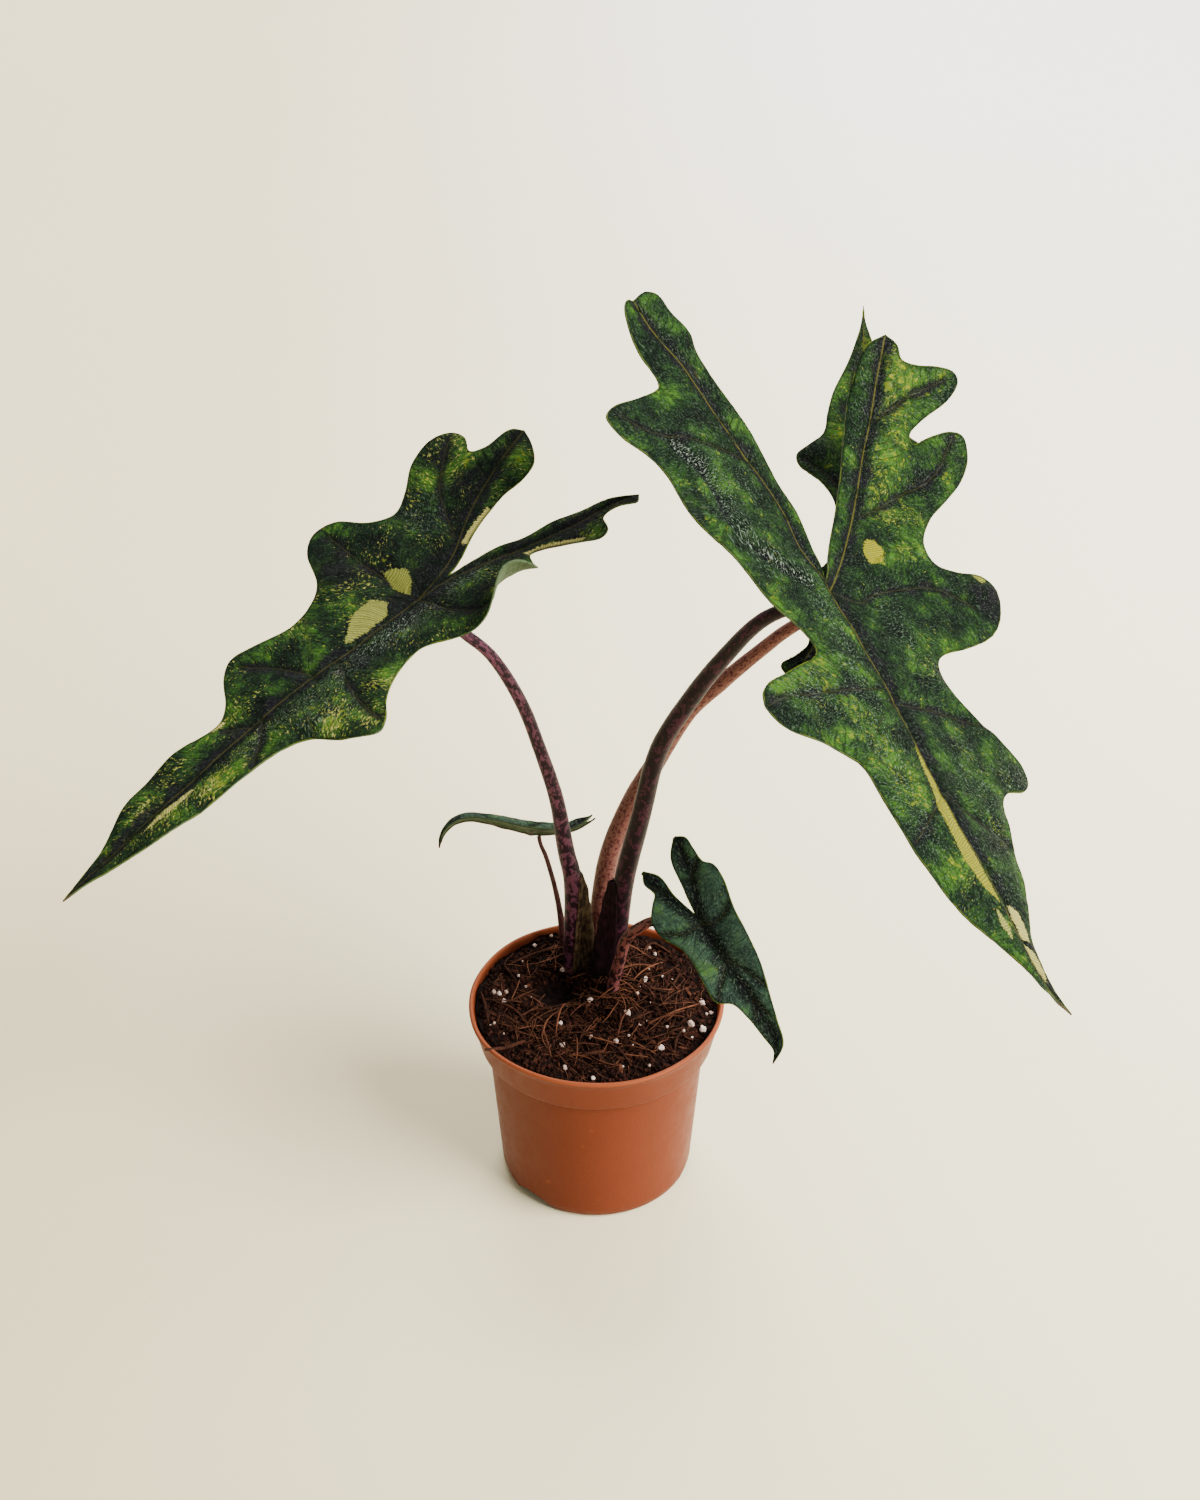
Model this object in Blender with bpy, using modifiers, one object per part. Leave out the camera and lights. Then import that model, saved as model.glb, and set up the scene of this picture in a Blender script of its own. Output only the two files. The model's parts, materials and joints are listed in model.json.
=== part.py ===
"""A potted alocasia: a thin plastic nursery pot filled with peat and coir, the short
stem in it, five leaf stalks and five arrow-shaped blades with deeply lobed edges.

Every length below is in millimetres and is turned into metres by MM. The origin is the
middle of the pot's foot, on the surface that it stands on, with +Z up. The plant is seen
from its front by looking along +Y."""

import math
from dataclasses import dataclass, field

import bmesh
import bpy
import numpy as np
from mathutils import Matrix, Vector

MM = 0.001
GAP = 0.3

# Pot
POT_HEIGHT = 98.0
RIM_RADIUS = 60.0
BAND_FOOT_RADIUS = 55.4
BAND_FOOT_Z = 78.6
BODY_TOP_RADIUS = 51.4
FOOT_RADIUS = 45.8
WALL = 1.4
LIP = 1.2
POT_SIDES = 44
DRAIN_ANGLES = (-132, -12, 108)
DRAIN_WIDTH = 22.0
DRAIN_HEIGHT = 6.0
NICK_ANGLE = -75
NICK_WIDTH = 4.0
NICK_HEIGHT = 1.6

# Soil
SOIL_WALL_Z = 91.5
SOIL_CROWN = 2.5
SOIL_RINGS = 9
SOIL_SIDES = 36
HOLLOW_CENTRE = (-25.0, 14.0)
HOLLOW_WIDTH = 11.0
HOLLOW_DEPTH = 6.0
FIBRES = 12
CHIPS = 6
GRAINS = 14
SOIL_SEED = 7

# Stem in the middle of the pot
STEM_CENTRE = (0.0, 27.0)
STEM_RADIUS = 12.5
STEM_FOOT_Z = 68.0
STEM_TOP_Z = 97.0
STALK_FOOT_Z = 84.0

# Leaves
BLADE_THICKNESS = 0.8
ROW_STEP = 5.0
COLUMNS = 3
SPLINE_STEPS = 6
STALK_SIDES = 10
NECK_LENGTH = 4.0
NECK_ROOM = 0.1
HOLE_ROOM = 0.2
HOLE_SIDES = 16

TERRACOTTA = (0.42, 0.115, 0.045)
PEAT = (0.045, 0.018, 0.009)
STEM_BROWN = (0.11, 0.055, 0.03)
PURPLE = (0.13, 0.035, 0.06)
ROSE = (0.33, 0.15, 0.11)
LEAF_GREEN = (0.025, 0.10, 0.012)
YOUNG_GREEN = (0.018, 0.08, 0.02)


@dataclass
class Leaf:
    """A blade is drawn flat first, in millimetres along its midrib from the joint with the
    stalk towards the tip, and across it. The two back lobes have a rib each and lie at
    negative lengths. An edge is a list of (root, along, across): the side vein that leaves
    the rib at root reaches the edge at (along, across). The flat shape is then bent:
    heading, droop and roll turn the joint, in degrees, and arch, back, fold, open_fold,
    back_fold and twist bend it by degrees for each 100 mm. A rolled margin is (side, middle
    of the roll along the midrib, half its length, distance from the midrib, radius)."""

    joint: tuple
    heading: float
    droop: float
    roll: float
    midrib: list
    minus_rib: list
    plus_rib: list
    minus_edge: list
    plus_edge: list
    minus_sinus: list
    plus_sinus: list
    arch: float = 0
    back: float = 0
    fold: tuple = (0, 0)
    open_fold: tuple = (0, 0)
    back_fold: tuple = (0, 0)
    twist: tuple = (0, 0)
    rolled: tuple = ()
    columns: tuple = (COLUMNS, COLUMNS)
    row_step: float = ROW_STEP


@dataclass
class Stalk:
    """A stalk's middle line up to its neck, its radius at each point, and the line of its
    clasping sheath. The neck bends up to the blade's joint and stops just under it."""

    line: list
    radii: list
    neck_radius: float
    colour: tuple
    sheath: list = field(default_factory=list)
    sheath_radii: list = field(default_factory=list)


LEAVES = {
    "blade_left": Leaf(
        joint=(-74, -8, 322), heading=-138, droop=17, roll=-5,
        arch=2, back=-6, fold=(7, 6), twist=(6, 7), rolled=((1, -24, 24, 14, 26),),
        midrib=[(0, 0), (37, -1), (67, -3), (134, 0), (176, 3), (192, 4)],
        minus_rib=[(0, 0), (-13, -2), (-27, -7), (-50, -19), (-72, -26), (-92, -30)],
        plus_rib=[(0, 0), (-20, 4), (-40, 12), (-62, 22), (-82, 28), (-98, 34)],
        minus_edge=[
            (192, 192, 4), (160, 171, -2), (128, 144, -14), (102, 118, -17), (84, 98, -15),
            (72, 89, -20), (62, 81, -32), (53, 72, -36), (42, 59, -34), (32, 45, -30),
            (23, 32, -32), (16, 23, -38), (9, 15, -54), (4, 6, -60), (-1, -4, -57),
            (-7, -13, -46), (-14, -24, -41), (-22, -36, -47), (-30, -47, -55), (-38, -60, -58),
            (-46, -70, -54), (-53, -72, -47), (-60, -68, -40), (-68, -74, -36), (-80, -87, -35),
            (-92, -92, -30),
        ],
        plus_edge=[
            (192, 192, 4), (158, 171, 10), (130, 142, 19), (112, 123, 19), (97, 107, 20),
            (80, 89, 22), (67, 79, 27), (58, 71, 40), (50, 62, 51), (43, 55, 47),
            (35, 47, 37), (26, 34, 28), (17, 20, 25), (10, 9, 32), (3, 0, 41),
            (-5, -10, 47), (-12, -19, 48), (-19, -28, 43), (-25, -34, 33), (-31, -39, 24),
            (-40, -47, 21), (-50, -58, 30), (-59, -69, 40), (-66, -75, 39), (-73, -79, 32),
            (-83, -87, 32), (-91, -94, 37), (-98, -98, 34),
        ],
        minus_sinus=[
            (0, -17, 1), (-18, -26, -2), (-30, -38, -7), (-44, -51, -11), (-56, -62, -13),
            (-66, -73, -12), (-74, -82, -14), (-83, -88, -21), (-92, -92, -30),
        ],
        plus_sinus=[
            (0, -17, 1), (-20, -26, 2), (-32, -38, 5), (-48, -53, 11), (-64, -69, 17),
            (-80, -85, 24), (-98, -98, 34),
        ],
        columns=(3, 5),
    ),
    "blade_front": Leaf(
        joint=(95, -30, 339), heading=-68, droop=19, roll=-28,
        arch=0.5, back=-22, fold=(5, 4), open_fold=(-8, -8), back_fold=(2, 6), twist=(-1, -9),
        midrib=[(0, 0), (50, 2), (104, 0), (158, 2), (184, 0), (196, 2), (204, 12)],
        minus_rib=[(0, 0), (-16, -8), (-41, -21), (-63, -31), (-87, -41), (-111, -51), (-130, -59)],
        plus_rib=[(0, 0), (-27, 18), (-45, 29), (-65, 39), (-90, 48), (-131, 60)],
        minus_edge=[
            (204, 204, 12), (192, 197, -1), (178, 188, -5), (160, 176, -12), (140, 162, -22),
            (118, 145, -29), (98, 125, -33), (80, 106, -35), (68, 94, -39), (60, 88, -51),
            (52, 82, -67), (47, 76, -74), (42, 69, -75), (37, 62, -69), (31, 53, -54),
            (22, 39, -31), (14, 30, -34), (6, 20, -45), (-2, 4, -54), (-10, -12, -63),
            (-20, -28, -71), (-30, -43, -73), (-38, -53, -79), (-45, -60, -90), (-51, -67, -95),
            (-57, -74, -89), (-65, -82, -73), (-72, -90, -60), (-84, -96, -61), (-95, -104, -67),
            (-110, -120, -72), (-122, -128, -67), (-130, -131, -59),
        ],
        plus_edge=[
            (204, 204, 12), (192, 196, 6), (176, 184, 6), (158, 172, 10), (134, 152, 21),
            (106, 126, 33), (84, 104, 41), (75, 97, 48), (68, 95, 59), (61, 88, 67),
            (54, 79, 67), (46, 70, 58), (36, 58, 48), (25, 44, 42), (15, 31, 45),
            (9, 26, 54), (5, 22, 68), (1, 14, 86), (-4, 1, 98), (-9, -11, 101),
            (-13, -17, 93), (-18, -18, 80), (-24, -21, 68), (-31, -31, 65), (-37, -42, 71),
            (-43, -52, 82), (-48, -63, 93), (-53, -75, 98), (-58, -84, 96), (-62, -86, 89),
            (-67, -83, 79), (-72, -79, 70), (-77, -84, 69), (-82, -91, 76), (-87, -100, 88),
            (-94, -109, 94), (-101, -115, 92), (-108, -117, 84), (-114, -117, 74),
            (-119, -119, 67), (-125, -126, 65), (-131, -131, 60),
        ],
        minus_sinus=[
            (0, -4, -1), (-12, -17, -2), (-30, -37, -5), (-52, -61, -10), (-74, -83, -19),
            (-90, -98, -28), (-103, -111, -35), (-111, -120, -38), (-119, -126, -46),
            (-126, -132, -52), (-130, -131, -59),
        ],
        plus_sinus=[
            (0, -4, -1), (-20, -28, 13), (-42, -51, 25), (-66, -78, 34), (-88, -101, 41),
            (-114, -124, 50), (-131, -131, 60),
        ],
    ),
    "blade_back": Leaf(
        joint=(109, 20, 302), heading=83, droop=-24, roll=0,
        arch=2, fold=(6, 6),
        midrib=[(0, 0), (60, -1), (120, 1), (168, 3)],
        minus_rib=[(0, 0), (-22, -11), (-48, -24)],
        plus_rib=[(0, 0), (-20, 11), (-44, 21)],
        minus_edge=[
            (168, 168, 3), (140, 152, -3), (114, 132, -9), (94, 112, -13), (80, 98, -16),
            (70, 88, -21), (62, 79, -31), (55, 71, -33), (48, 64, -28), (41, 57, -19),
            (32, 46, -14), (22, 33, -13), (14, 22, -15), (8, 13, -22), (3, 5, -30),
            (-2, -4, -32), (-7, -11, -27), (-13, -18, -22), (-20, -28, -25), (-27, -37, -30),
            (-36, -45, -31), (-48, -49, -24),
        ],
        plus_edge=[
            (168, 168, 3), (140, 150, 7), (114, 132, 11), (94, 112, 14), (80, 98, 16),
            (70, 87, 17), (63, 80, 23), (57, 74, 28), (51, 67, 26), (45, 61, 18),
            (36, 50, 10), (24, 34, 8), (15, 21, 9), (9, 12, 14), (4, 5, 22),
            (-1, -3, 26), (-6, -10, 24), (-11, -17, 18), (-17, -25, 16), (-24, -32, 21),
            (-31, -38, 27), (-44, -45, 22),
        ],
        minus_sinus=[(0, -6, 0), (-12, -18, -5), (-28, -34, -13), (-48, -49, -24)],
        plus_sinus=[(0, -6, 0), (-12, -18, 4), (-28, -34, 11), (-44, -45, 22)],
        row_step=5.0,
    ),
    "blade_small_front": Leaf(
        joint=(45, -20, 163), heading=-54, droop=39, roll=40,
        arch=11, fold=(8, 8),
        midrib=[(0, 0), (22, 2), (45, 5), (64, 5), (74, -1)],
        minus_rib=[(0, 0), (-13, -7), (-29, -13)],
        plus_rib=[(0, 0), (-15, 6), (-36, 9)],
        minus_edge=[
            (74, 74, -1), (63, 69, 2), (52, 60, 1), (42, 50, -1), (35, 42, -4),
            (30, 38, -10), (21, 28, -11), (12, 17, -11), (6, 9, -13), (0, 1, -18),
            (-5, -7, -19), (-10, -14, -15), (-15, -18, -12), (-21, -24, -14), (-29, -30, -12),
        ],
        plus_edge=[
            (74, 74, -1), (63, 68, 8), (52, 57, 11), (40, 44, 14), (28, 30, 17),
            (16, 16, 18), (6, 4, 18), (-3, -8, 20), (-10, -17, 19), (-16, -21, 15),
            (-24, -28, 14), (-30, -34, 13), (-36, -37, 8),
        ],
        minus_sinus=[(0, -2, 0), (-8, -13, -4), (-19, -24, -6), (-29, -30, -12)],
        plus_sinus=[(0, -2, 0), (-10, -14, 1), (-22, -28, 2), (-36, -37, 8)],
        row_step=4.0,
    ),
    "blade_small_back": Leaf(
        joint=(-27, 50, 158), heading=180, droop=-27, roll=30,
        arch=105, back=-170, fold=(12, 12),
        midrib=[(0, 0), (25, 0), (44, 0), (52, -2)],
        minus_rib=[(0, 0), (-12, -5), (-28, -9)],
        plus_rib=[(0, 0), (-12, 5), (-28, 9)],
        minus_edge=[
            (52, 52, -2), (40, 45, -4), (30, 35, -8), (20, 24, -11), (10, 13, -13),
            (3, 4, -14), (-3, -6, -14), (-9, -13, -11), (-16, -20, -12), (-28, -29, -8),
        ],
        plus_edge=[
            (52, 52, -2), (40, 45, 3), (30, 35, 7), (20, 24, 10), (10, 13, 12),
            (3, 4, 14), (-3, -6, 14), (-9, -13, 11), (-16, -20, 12), (-28, -29, 8),
        ],
        minus_sinus=[(0, -4, 0), (-8, -12, -2), (-18, -22, -4), (-28, -29, -8)],
        plus_sinus=[(0, -4, 0), (-8, -12, 2), (-18, -22, 4), (-28, -29, 8)],
        columns=(2, 2),
        row_step=4.0,
    ),
}

STALKS = {
    "stalk_left": Stalk(
        line=[(-11, 30, 84), (-11, 30, 100), (-11, 28, 147), (-14, 26, 166), (-18, 22, 198),
              (-25, 17, 229), (-33, 11, 259), (-45, 4, 287), (-56, -2, 302), (-65, -5, 313)],
        radii=[5.0, 4.9, 4.3, 4.0, 3.4, 3.0, 2.8, 2.5, 2.4, 2.2],
        neck_radius=2.1,
        colour=PURPLE,
        sheath=[(-7, 28, 84), (-7, 28, 100), (-7, 27.5, 128), (-8.6, 27, 150)],
        sheath_radii=[3.4, 3.1, 2.2, 0.7],
    ),
    "stalk_front": Stalk(
        line=[(8, 22, 84), (8, 22, 100), (10, 22, 122), (13, 20, 153), (20, 16, 191),
              (28, 10, 234), (41, 3, 265), (55, -6, 293), (68, -15, 315), (78, -21, 325)],
        radii=[5.2, 5.1, 5.0, 4.8, 4.5, 4.2, 4.0, 3.6, 3.2, 2.9],
        neck_radius=2.5,
        colour=PURPLE,
        sheath=[(4, 22.5, 84), (4, 22.5, 100), (5, 22, 128), (8.5, 21.5, 156)],
        sheath_radii=[3.2, 3.2, 2.6, 0.8],
    ),
    "stalk_back": Stalk(
        line=[(1, 41, 84), (1, 41, 100), (3, 41, 131), (7, 40, 156), (17, 39, 186),
              (25, 38, 203), (42, 35, 238), (55, 32, 254), (70, 28, 272), (87, 24, 290)],
        radii=[5.0, 5.0, 4.9, 4.8, 4.6, 4.5, 4.0, 3.6, 3.2, 2.8],
        neck_radius=2.2,
        colour=ROSE,
    ),
    "stalk_small_front": Stalk(
        line=[(8, 10, 84), (8, 10, 98), (11, 8, 115), (14, 4, 131), (20, -1, 142),
              (27, -6, 150), (37, -14, 157)],
        radii=[3.0, 3.0, 2.9, 2.7, 2.5, 2.2, 1.9],
        neck_radius=1.4,
        colour=ROSE,
    ),
    "stalk_small_back": Stalk(
        line=[(-16, 44, 84), (-16, 44, 98), (-19, 45, 125), (-24, 48, 146)],
        radii=[1.9, 1.9, 1.2, 1.0],
        neck_radius=0.9,
        colour=ROSE,
    ),
}


def clear_scene():
    for old in list(bpy.data.objects):
        bpy.data.objects.remove(old, do_unlink=True)


def new_collection(name, hidden=False):
    made = bpy.data.collections.new(name)
    made.hide_render = hidden
    bpy.context.scene.collection.children.link(made)
    return made


def new_object(name, mesh, collection):
    made = bpy.data.objects.new(name, mesh)
    collection.objects.link(made)
    return made


def object_from_bmesh(name, bm, collection):
    mesh = bpy.data.meshes.new(name)
    bm.to_mesh(mesh)
    bm.free()
    return new_object(name, mesh, collection)


def finish(obj, colour, roughness, smooth_angle=None):
    """Gives the object a material of its own, and smooth shading below the angle."""
    material = bpy.data.materials.new(obj.name)
    material.use_nodes = True
    shader = material.node_tree.nodes["Principled BSDF"]
    shader.inputs["Base Color"].default_value = (*colour, 1)
    shader.inputs["Roughness"].default_value = roughness
    shader.inputs["Metallic"].default_value = 0
    material.diffuse_color = (*colour, 1)
    obj.data.materials.clear()
    obj.data.materials.append(material)
    if smooth_angle is not None:
        obj.data.shade_smooth()
        obj.data.set_sharp_from_angle(angle=math.radians(smooth_angle))


def as_mesh(obj, collection):
    """Replaces a curve or an object with modifiers by its evaluated mesh, with caps welded."""
    graph = bpy.context.evaluated_depsgraph_get()
    mesh = bpy.data.meshes.new_from_object(obj.evaluated_get(graph))
    name = obj.name
    place = obj.matrix_world.copy()
    bpy.data.objects.remove(obj, do_unlink=True)
    bm = bmesh.new()
    bm.from_mesh(mesh)
    bmesh.ops.remove_doubles(bm, verts=bm.verts, dist=0.01 * MM)
    bmesh.ops.recalc_face_normals(bm, faces=bm.faces)
    bm.to_mesh(mesh)
    bm.free()
    mesh.name = name
    made = new_object(name, mesh, collection)
    made.matrix_world = place
    return made


def boolean(obj, operation, helpers):
    """Cuts or joins the helpers, and applies the result."""
    modifier = obj.modifiers.new(operation.lower(), "BOOLEAN")
    modifier.operation = operation
    modifier.operand_type = "COLLECTION"
    modifier.collection = helpers
    modifier.solver = "EXACT"
    graph = bpy.context.evaluated_depsgraph_get()
    mesh = bpy.data.meshes.new_from_object(obj.evaluated_get(graph))
    obj.modifiers.remove(modifier)
    obj.data = mesh
    for helper in list(helpers.objects):
        bpy.data.objects.remove(helper, do_unlink=True)
    bpy.data.collections.remove(helpers)


def keep_largest_shell(obj):
    """Fills sealed pockets and drops loose scraps, by keeping only the shell with most faces."""
    bm = bmesh.new()
    bm.from_mesh(obj.data)
    unseen = set(bm.faces)
    shells = []
    while unseen:
        stack = [unseen.pop()]
        shell = []
        while stack:
            face = stack.pop()
            shell.append(face)
            for edge in face.edges:
                for other in edge.link_faces:
                    if other in unseen:
                        unseen.remove(other)
                        stack.append(other)
        shells.append(shell)
    shells.sort(key=len)
    for shell in shells[:-1]:
        bmesh.ops.delete(bm, geom=shell, context="FACES")
    bm.to_mesh(obj.data)
    bm.free()


def hide_helper(obj):
    obj.hide_render = True
    obj.display_type = "WIRE"


def smooth_curve(points, steps=SPLINE_STEPS):
    """A smooth curve through the points, whose tangents allow for uneven spacing."""
    points = np.array(points, float)
    gaps = np.sqrt(np.linalg.norm(np.diff(points, axis=0), axis=1))[:, None]
    slopes = np.diff(points, axis=0) / gaps
    between = (slopes[:-1] * gaps[1:] + slopes[1:] * gaps[:-1]) / (gaps[:-1] + gaps[1:])
    tangents = np.concatenate([slopes[:1], between, slopes[-1:]])
    rows = []
    for number, gap in enumerate(gaps):
        for step in range(steps):
            t = step / steps
            start = (2 * t**3 - 3 * t**2 + 1) * points[number]
            end = (3 * t**2 - 2 * t**3) * points[number + 1]
            leave = (t**3 - 2 * t**2 + t) * gap * tangents[number]
            arrive = (t**3 - t**2) * gap * tangents[number + 1]
            rows.append(start + end + leave + arrive)
    rows.append(points[-1])
    return np.array(rows)


def at_root(edge, roots):
    """Where an edge lies for each root, read from the smooth curve through its points."""
    curve = smooth_curve(edge)
    order = np.argsort(curve[:, 0])
    curve = curve[order]
    along = np.interp(roots, curve[:, 0], curve[:, 1])
    across = np.interp(roots, curve[:, 0], curve[:, 2])
    return np.stack([along, across], 1)


def on_rib(rib, roots):
    curve = smooth_curve(rib)
    order = np.argsort(curve[:, 0])
    return np.stack([roots, np.interp(roots, curve[order, 0], curve[order, 1])], 1)


def joint_axes(leaf):
    """Unit vectors at the joint: towards the tip, across the blade and up from it."""
    heading, droop, roll = (math.radians(value) for value in (leaf.heading, leaf.droop, leaf.roll))
    tip = np.array([
        math.cos(droop) * math.cos(heading),
        math.cos(droop) * math.sin(heading),
        -math.sin(droop),
    ])
    level = np.array([-math.sin(heading), math.cos(heading), 0])
    above = np.cross(tip, level)
    across = math.cos(roll) * level + math.sin(roll) * above
    up = math.cos(roll) * above - math.sin(roll) * level
    return tip, across, up


def bend_blade(leaf, flat):
    """Places flat points (along, across) of a blade in space, in millimetres."""
    along, across = flat[:, 0], flat[:, 1]
    tip, side, up = joint_axes(leaf)
    forward = along > 0
    curvature = np.radians(np.where(forward, leaf.arch, leaf.back)) / 100 + 1e-9
    angle = curvature * along
    run = np.sin(angle) / curvature
    drop = (1 - np.cos(angle)) / curvature
    spine = np.array(leaf.joint) + run[:, None] * tip - drop[:, None] * up
    above = np.sin(angle)[:, None] * tip + np.cos(angle)[:, None] * up
    twist = np.radians(np.where(forward, leaf.twist[0], leaf.twist[1]) * along / 100)
    section_side = np.cos(twist)[:, None] * side + np.sin(twist)[:, None] * above
    section_up = np.cos(twist)[:, None] * above - np.sin(twist)[:, None] * side
    plus = across > 0
    ahead = np.clip(along, 0, None) / 100
    behind = np.clip(-along, 0, None) / 100
    fold = np.where(plus, leaf.fold[1], leaf.fold[0])
    fold = fold + ahead * np.where(plus, leaf.open_fold[1], leaf.open_fold[0])
    fold = fold + behind * np.where(plus, leaf.back_fold[1], leaf.back_fold[0])
    slope = np.radians(fold)
    reach = np.abs(across)
    out = reach * np.cos(slope)
    rise = reach * np.sin(slope)
    for margin, middle, half_length, start, radius in leaf.rolled:
        on_margin = np.where(plus == (margin > 0), 1.0, 0.0)
        curl = np.exp(-(((along - middle) / half_length) ** 2)) / radius * on_margin + 1e-9
        past = np.clip(reach - start, 0, None)
        turned = slope + curl * past
        out += (np.sin(turned) - np.sin(slope)) / curl - past * np.cos(slope)
        rise += (np.cos(slope) - np.cos(turned)) / curl - past * np.sin(slope)
    return spine + (np.sign(across) * out)[:, None] * section_side + rise[:, None] * section_up


def strip(bm, leaf, inner, outer, columns, turned):
    """Ruled faces between two lines of flat points. Every face is a triangle, so that both
    sides of the blade get the same ones when it is thickened."""
    shares = np.linspace(0, 1, columns + 1)
    grid = []
    for start, end in zip(inner, outer):
        flat = start + shares[:, None] * (end - start)
        grid.append([bm.verts.new(Vector(point) * MM) for point in bend_blade(leaf, flat)])
    for near, far in zip(grid, grid[1:]):
        for column in range(columns):
            a, b, c, d = near[column], near[column + 1], far[column + 1], far[column]
            corners = ((a, b, c), (a, c, d))
            for corner in corners:
                bm.faces.new(corner[::-1] if turned else corner)


def blade(name, leaf, colour, collection):
    """A thin blade: a strip on each side of the midrib and back ribs, and one in the cleft."""
    length = leaf.midrib[-1][0]
    front_rows = np.linspace(length, 0, round(length / leaf.row_step) + 1)
    bm = bmesh.new()
    sides = (
        (leaf.minus_rib, leaf.minus_edge, leaf.minus_sinus, leaf.columns[0], False),
        (leaf.plus_rib, leaf.plus_edge, leaf.plus_sinus, leaf.columns[1], True),
    )
    for rib, edge, sinus, columns, turned in sides:
        reach = rib[-1][0]
        back_rows = np.linspace(0, reach, round(-reach / leaf.row_step) + 1)
        front = on_rib(leaf.midrib[::-1], front_rows)
        back = on_rib(rib, back_rows)
        line = np.concatenate([front, back[1:]])
        margin = at_root(edge, line[:, 0])
        margin[0], margin[-1] = line[0], line[-1]
        cleft = at_root(sinus, back_rows)
        cleft[-1] = line[-1]
        strip(bm, leaf, line, margin, columns, turned)
        strip(bm, leaf, back, cleft, 1, not turned)
    bmesh.ops.remove_doubles(bm, verts=bm.verts, dist=0.05 * MM)
    bmesh.ops.dissolve_degenerate(bm, edges=bm.edges, dist=0.02 * MM)
    made = object_from_bmesh(name, bm, collection)
    wall = made.modifiers.new("thickness", "SOLIDIFY")
    wall.thickness = BLADE_THICKNESS * MM
    wall.offset = 0
    finish(made, colour, 0.4, 50)
    return made


def tube(name, line, radii, sides, collection):
    """A round rod of changing radius along a smooth line, with flat ends."""
    smooth = smooth_curve([(*point, radius) for point, radius in zip(line, radii)], 2)
    curve = bpy.data.curves.new(name, "CURVE")
    curve.dimensions = "3D"
    curve.bevel_depth = MM
    curve.bevel_resolution = max(0, (sides - 4) // 2)
    curve.use_fill_caps = True
    spline = curve.splines.new("POLY")
    spline.points.add(len(smooth) - 1)
    for point, (x, y, z, radius) in zip(spline.points, smooth):
        point.co = (x * MM, y * MM, z * MM, 1)
        point.radius = radius
    return as_mesh(new_object(name, curve, collection), collection)


def neck(shape, leaf):
    """The last two points of a stalk, leaning halfway from its own line to the blade's normal.
    Its flat end clears the blade's underside all round."""
    up = joint_axes(leaf)[2]
    own = np.array(leaf.joint) - np.array(shape.line[-1])
    lean = own / np.linalg.norm(own) + up
    lean /= np.linalg.norm(lean)
    tilt = math.acos(min(1, float(lean @ up)))
    clear = BLADE_THICKNESS / 2 + GAP + NECK_ROOM + shape.neck_radius * math.sin(tilt)
    end = np.array(leaf.joint) - clear * up
    return [tuple(end - NECK_LENGTH * lean), tuple(end)]


def stalk(name, shape, leaf, collection):
    line = shape.line + neck(shape, leaf)
    radii = shape.radii + [shape.neck_radius] * 2
    made = tube(name, line, radii, STALK_SIDES, collection)
    if shape.sheath:
        helpers = new_collection(name + "_sheath", hidden=True)
        hide_helper(tube(name + "_wing", shape.sheath, shape.sheath_radii, STALK_SIDES, helpers))
        boolean(made, "UNION", helpers)
    finish(made, shape.colour, 0.45, 50)
    return made


def pot_profile():
    """The pot's section from the middle of its floor up the inside, over the lip and down
    the outside to the middle of its underside, as (radius, height)."""
    floor_top = WALL
    taper = (BODY_TOP_RADIUS - FOOT_RADIUS) / BAND_FOOT_Z
    body_top = BAND_FOOT_Z - 1.2
    inside = [
        (0, floor_top),
        (FOOT_RADIUS - WALL - 1.5, floor_top),
        (FOOT_RADIUS - WALL + 0.2, floor_top + 1.5),
        (BODY_TOP_RADIUS - WALL, body_top + 0.6),
        (BODY_TOP_RADIUS - WALL + 0.6, body_top + 1.5),
        (BAND_FOOT_RADIUS - WALL, BAND_FOOT_Z + 1.2),
        (RIM_RADIUS - LIP - WALL, POT_HEIGHT - 3),
        (RIM_RADIUS - LIP - WALL + 0.5, POT_HEIGHT - 0.6),
    ]
    lip = [
        (RIM_RADIUS - LIP, POT_HEIGHT),
        (RIM_RADIUS - 0.4, POT_HEIGHT - 0.2),
        (RIM_RADIUS, POT_HEIGHT - 0.9),
        (RIM_RADIUS - 0.1, POT_HEIGHT - 1.8),
        (RIM_RADIUS - LIP + 0.3, POT_HEIGHT - 2.6),
    ]
    outside = [
        (BAND_FOOT_RADIUS + 0.2, BAND_FOOT_Z + 0.8),
        (BAND_FOOT_RADIUS - 0.4, BAND_FOOT_Z),
        (BODY_TOP_RADIUS + 0.5, body_top),
        (BODY_TOP_RADIUS, body_top - 0.8),
        (FOOT_RADIUS + 5 * taper, 5),
        (FOOT_RADIUS - 0.4, 2),
        (FOOT_RADIUS - 1.6, 0.5),
        (FOOT_RADIUS - 3.2, 0),
        (0, 0),
    ]
    return inside, lip, outside


def arch_cutter(name, angle, width, height, collection):
    """A half-round drain slot through the pot's lower edge, as wide and as high as stated."""
    bm = bmesh.new()
    turn = Matrix.Rotation(math.radians(angle), 4, "Z") @ Matrix.Rotation(math.radians(90), 4, "Y")
    bmesh.ops.create_cone(
        bm, cap_ends=True, segments=20, radius1=1, radius2=1, depth=1,
    )
    size = Matrix.Diagonal((height * MM, width / 2 * MM, 14 * MM, 1))
    middle = Matrix.Translation(Matrix.Rotation(math.radians(angle), 4, "Z") @ Vector((FOOT_RADIUS * MM, 0, 0)))
    bmesh.ops.transform(bm, verts=bm.verts, matrix=middle @ turn @ size)
    hide_helper(object_from_bmesh(name, bm, collection))


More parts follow.
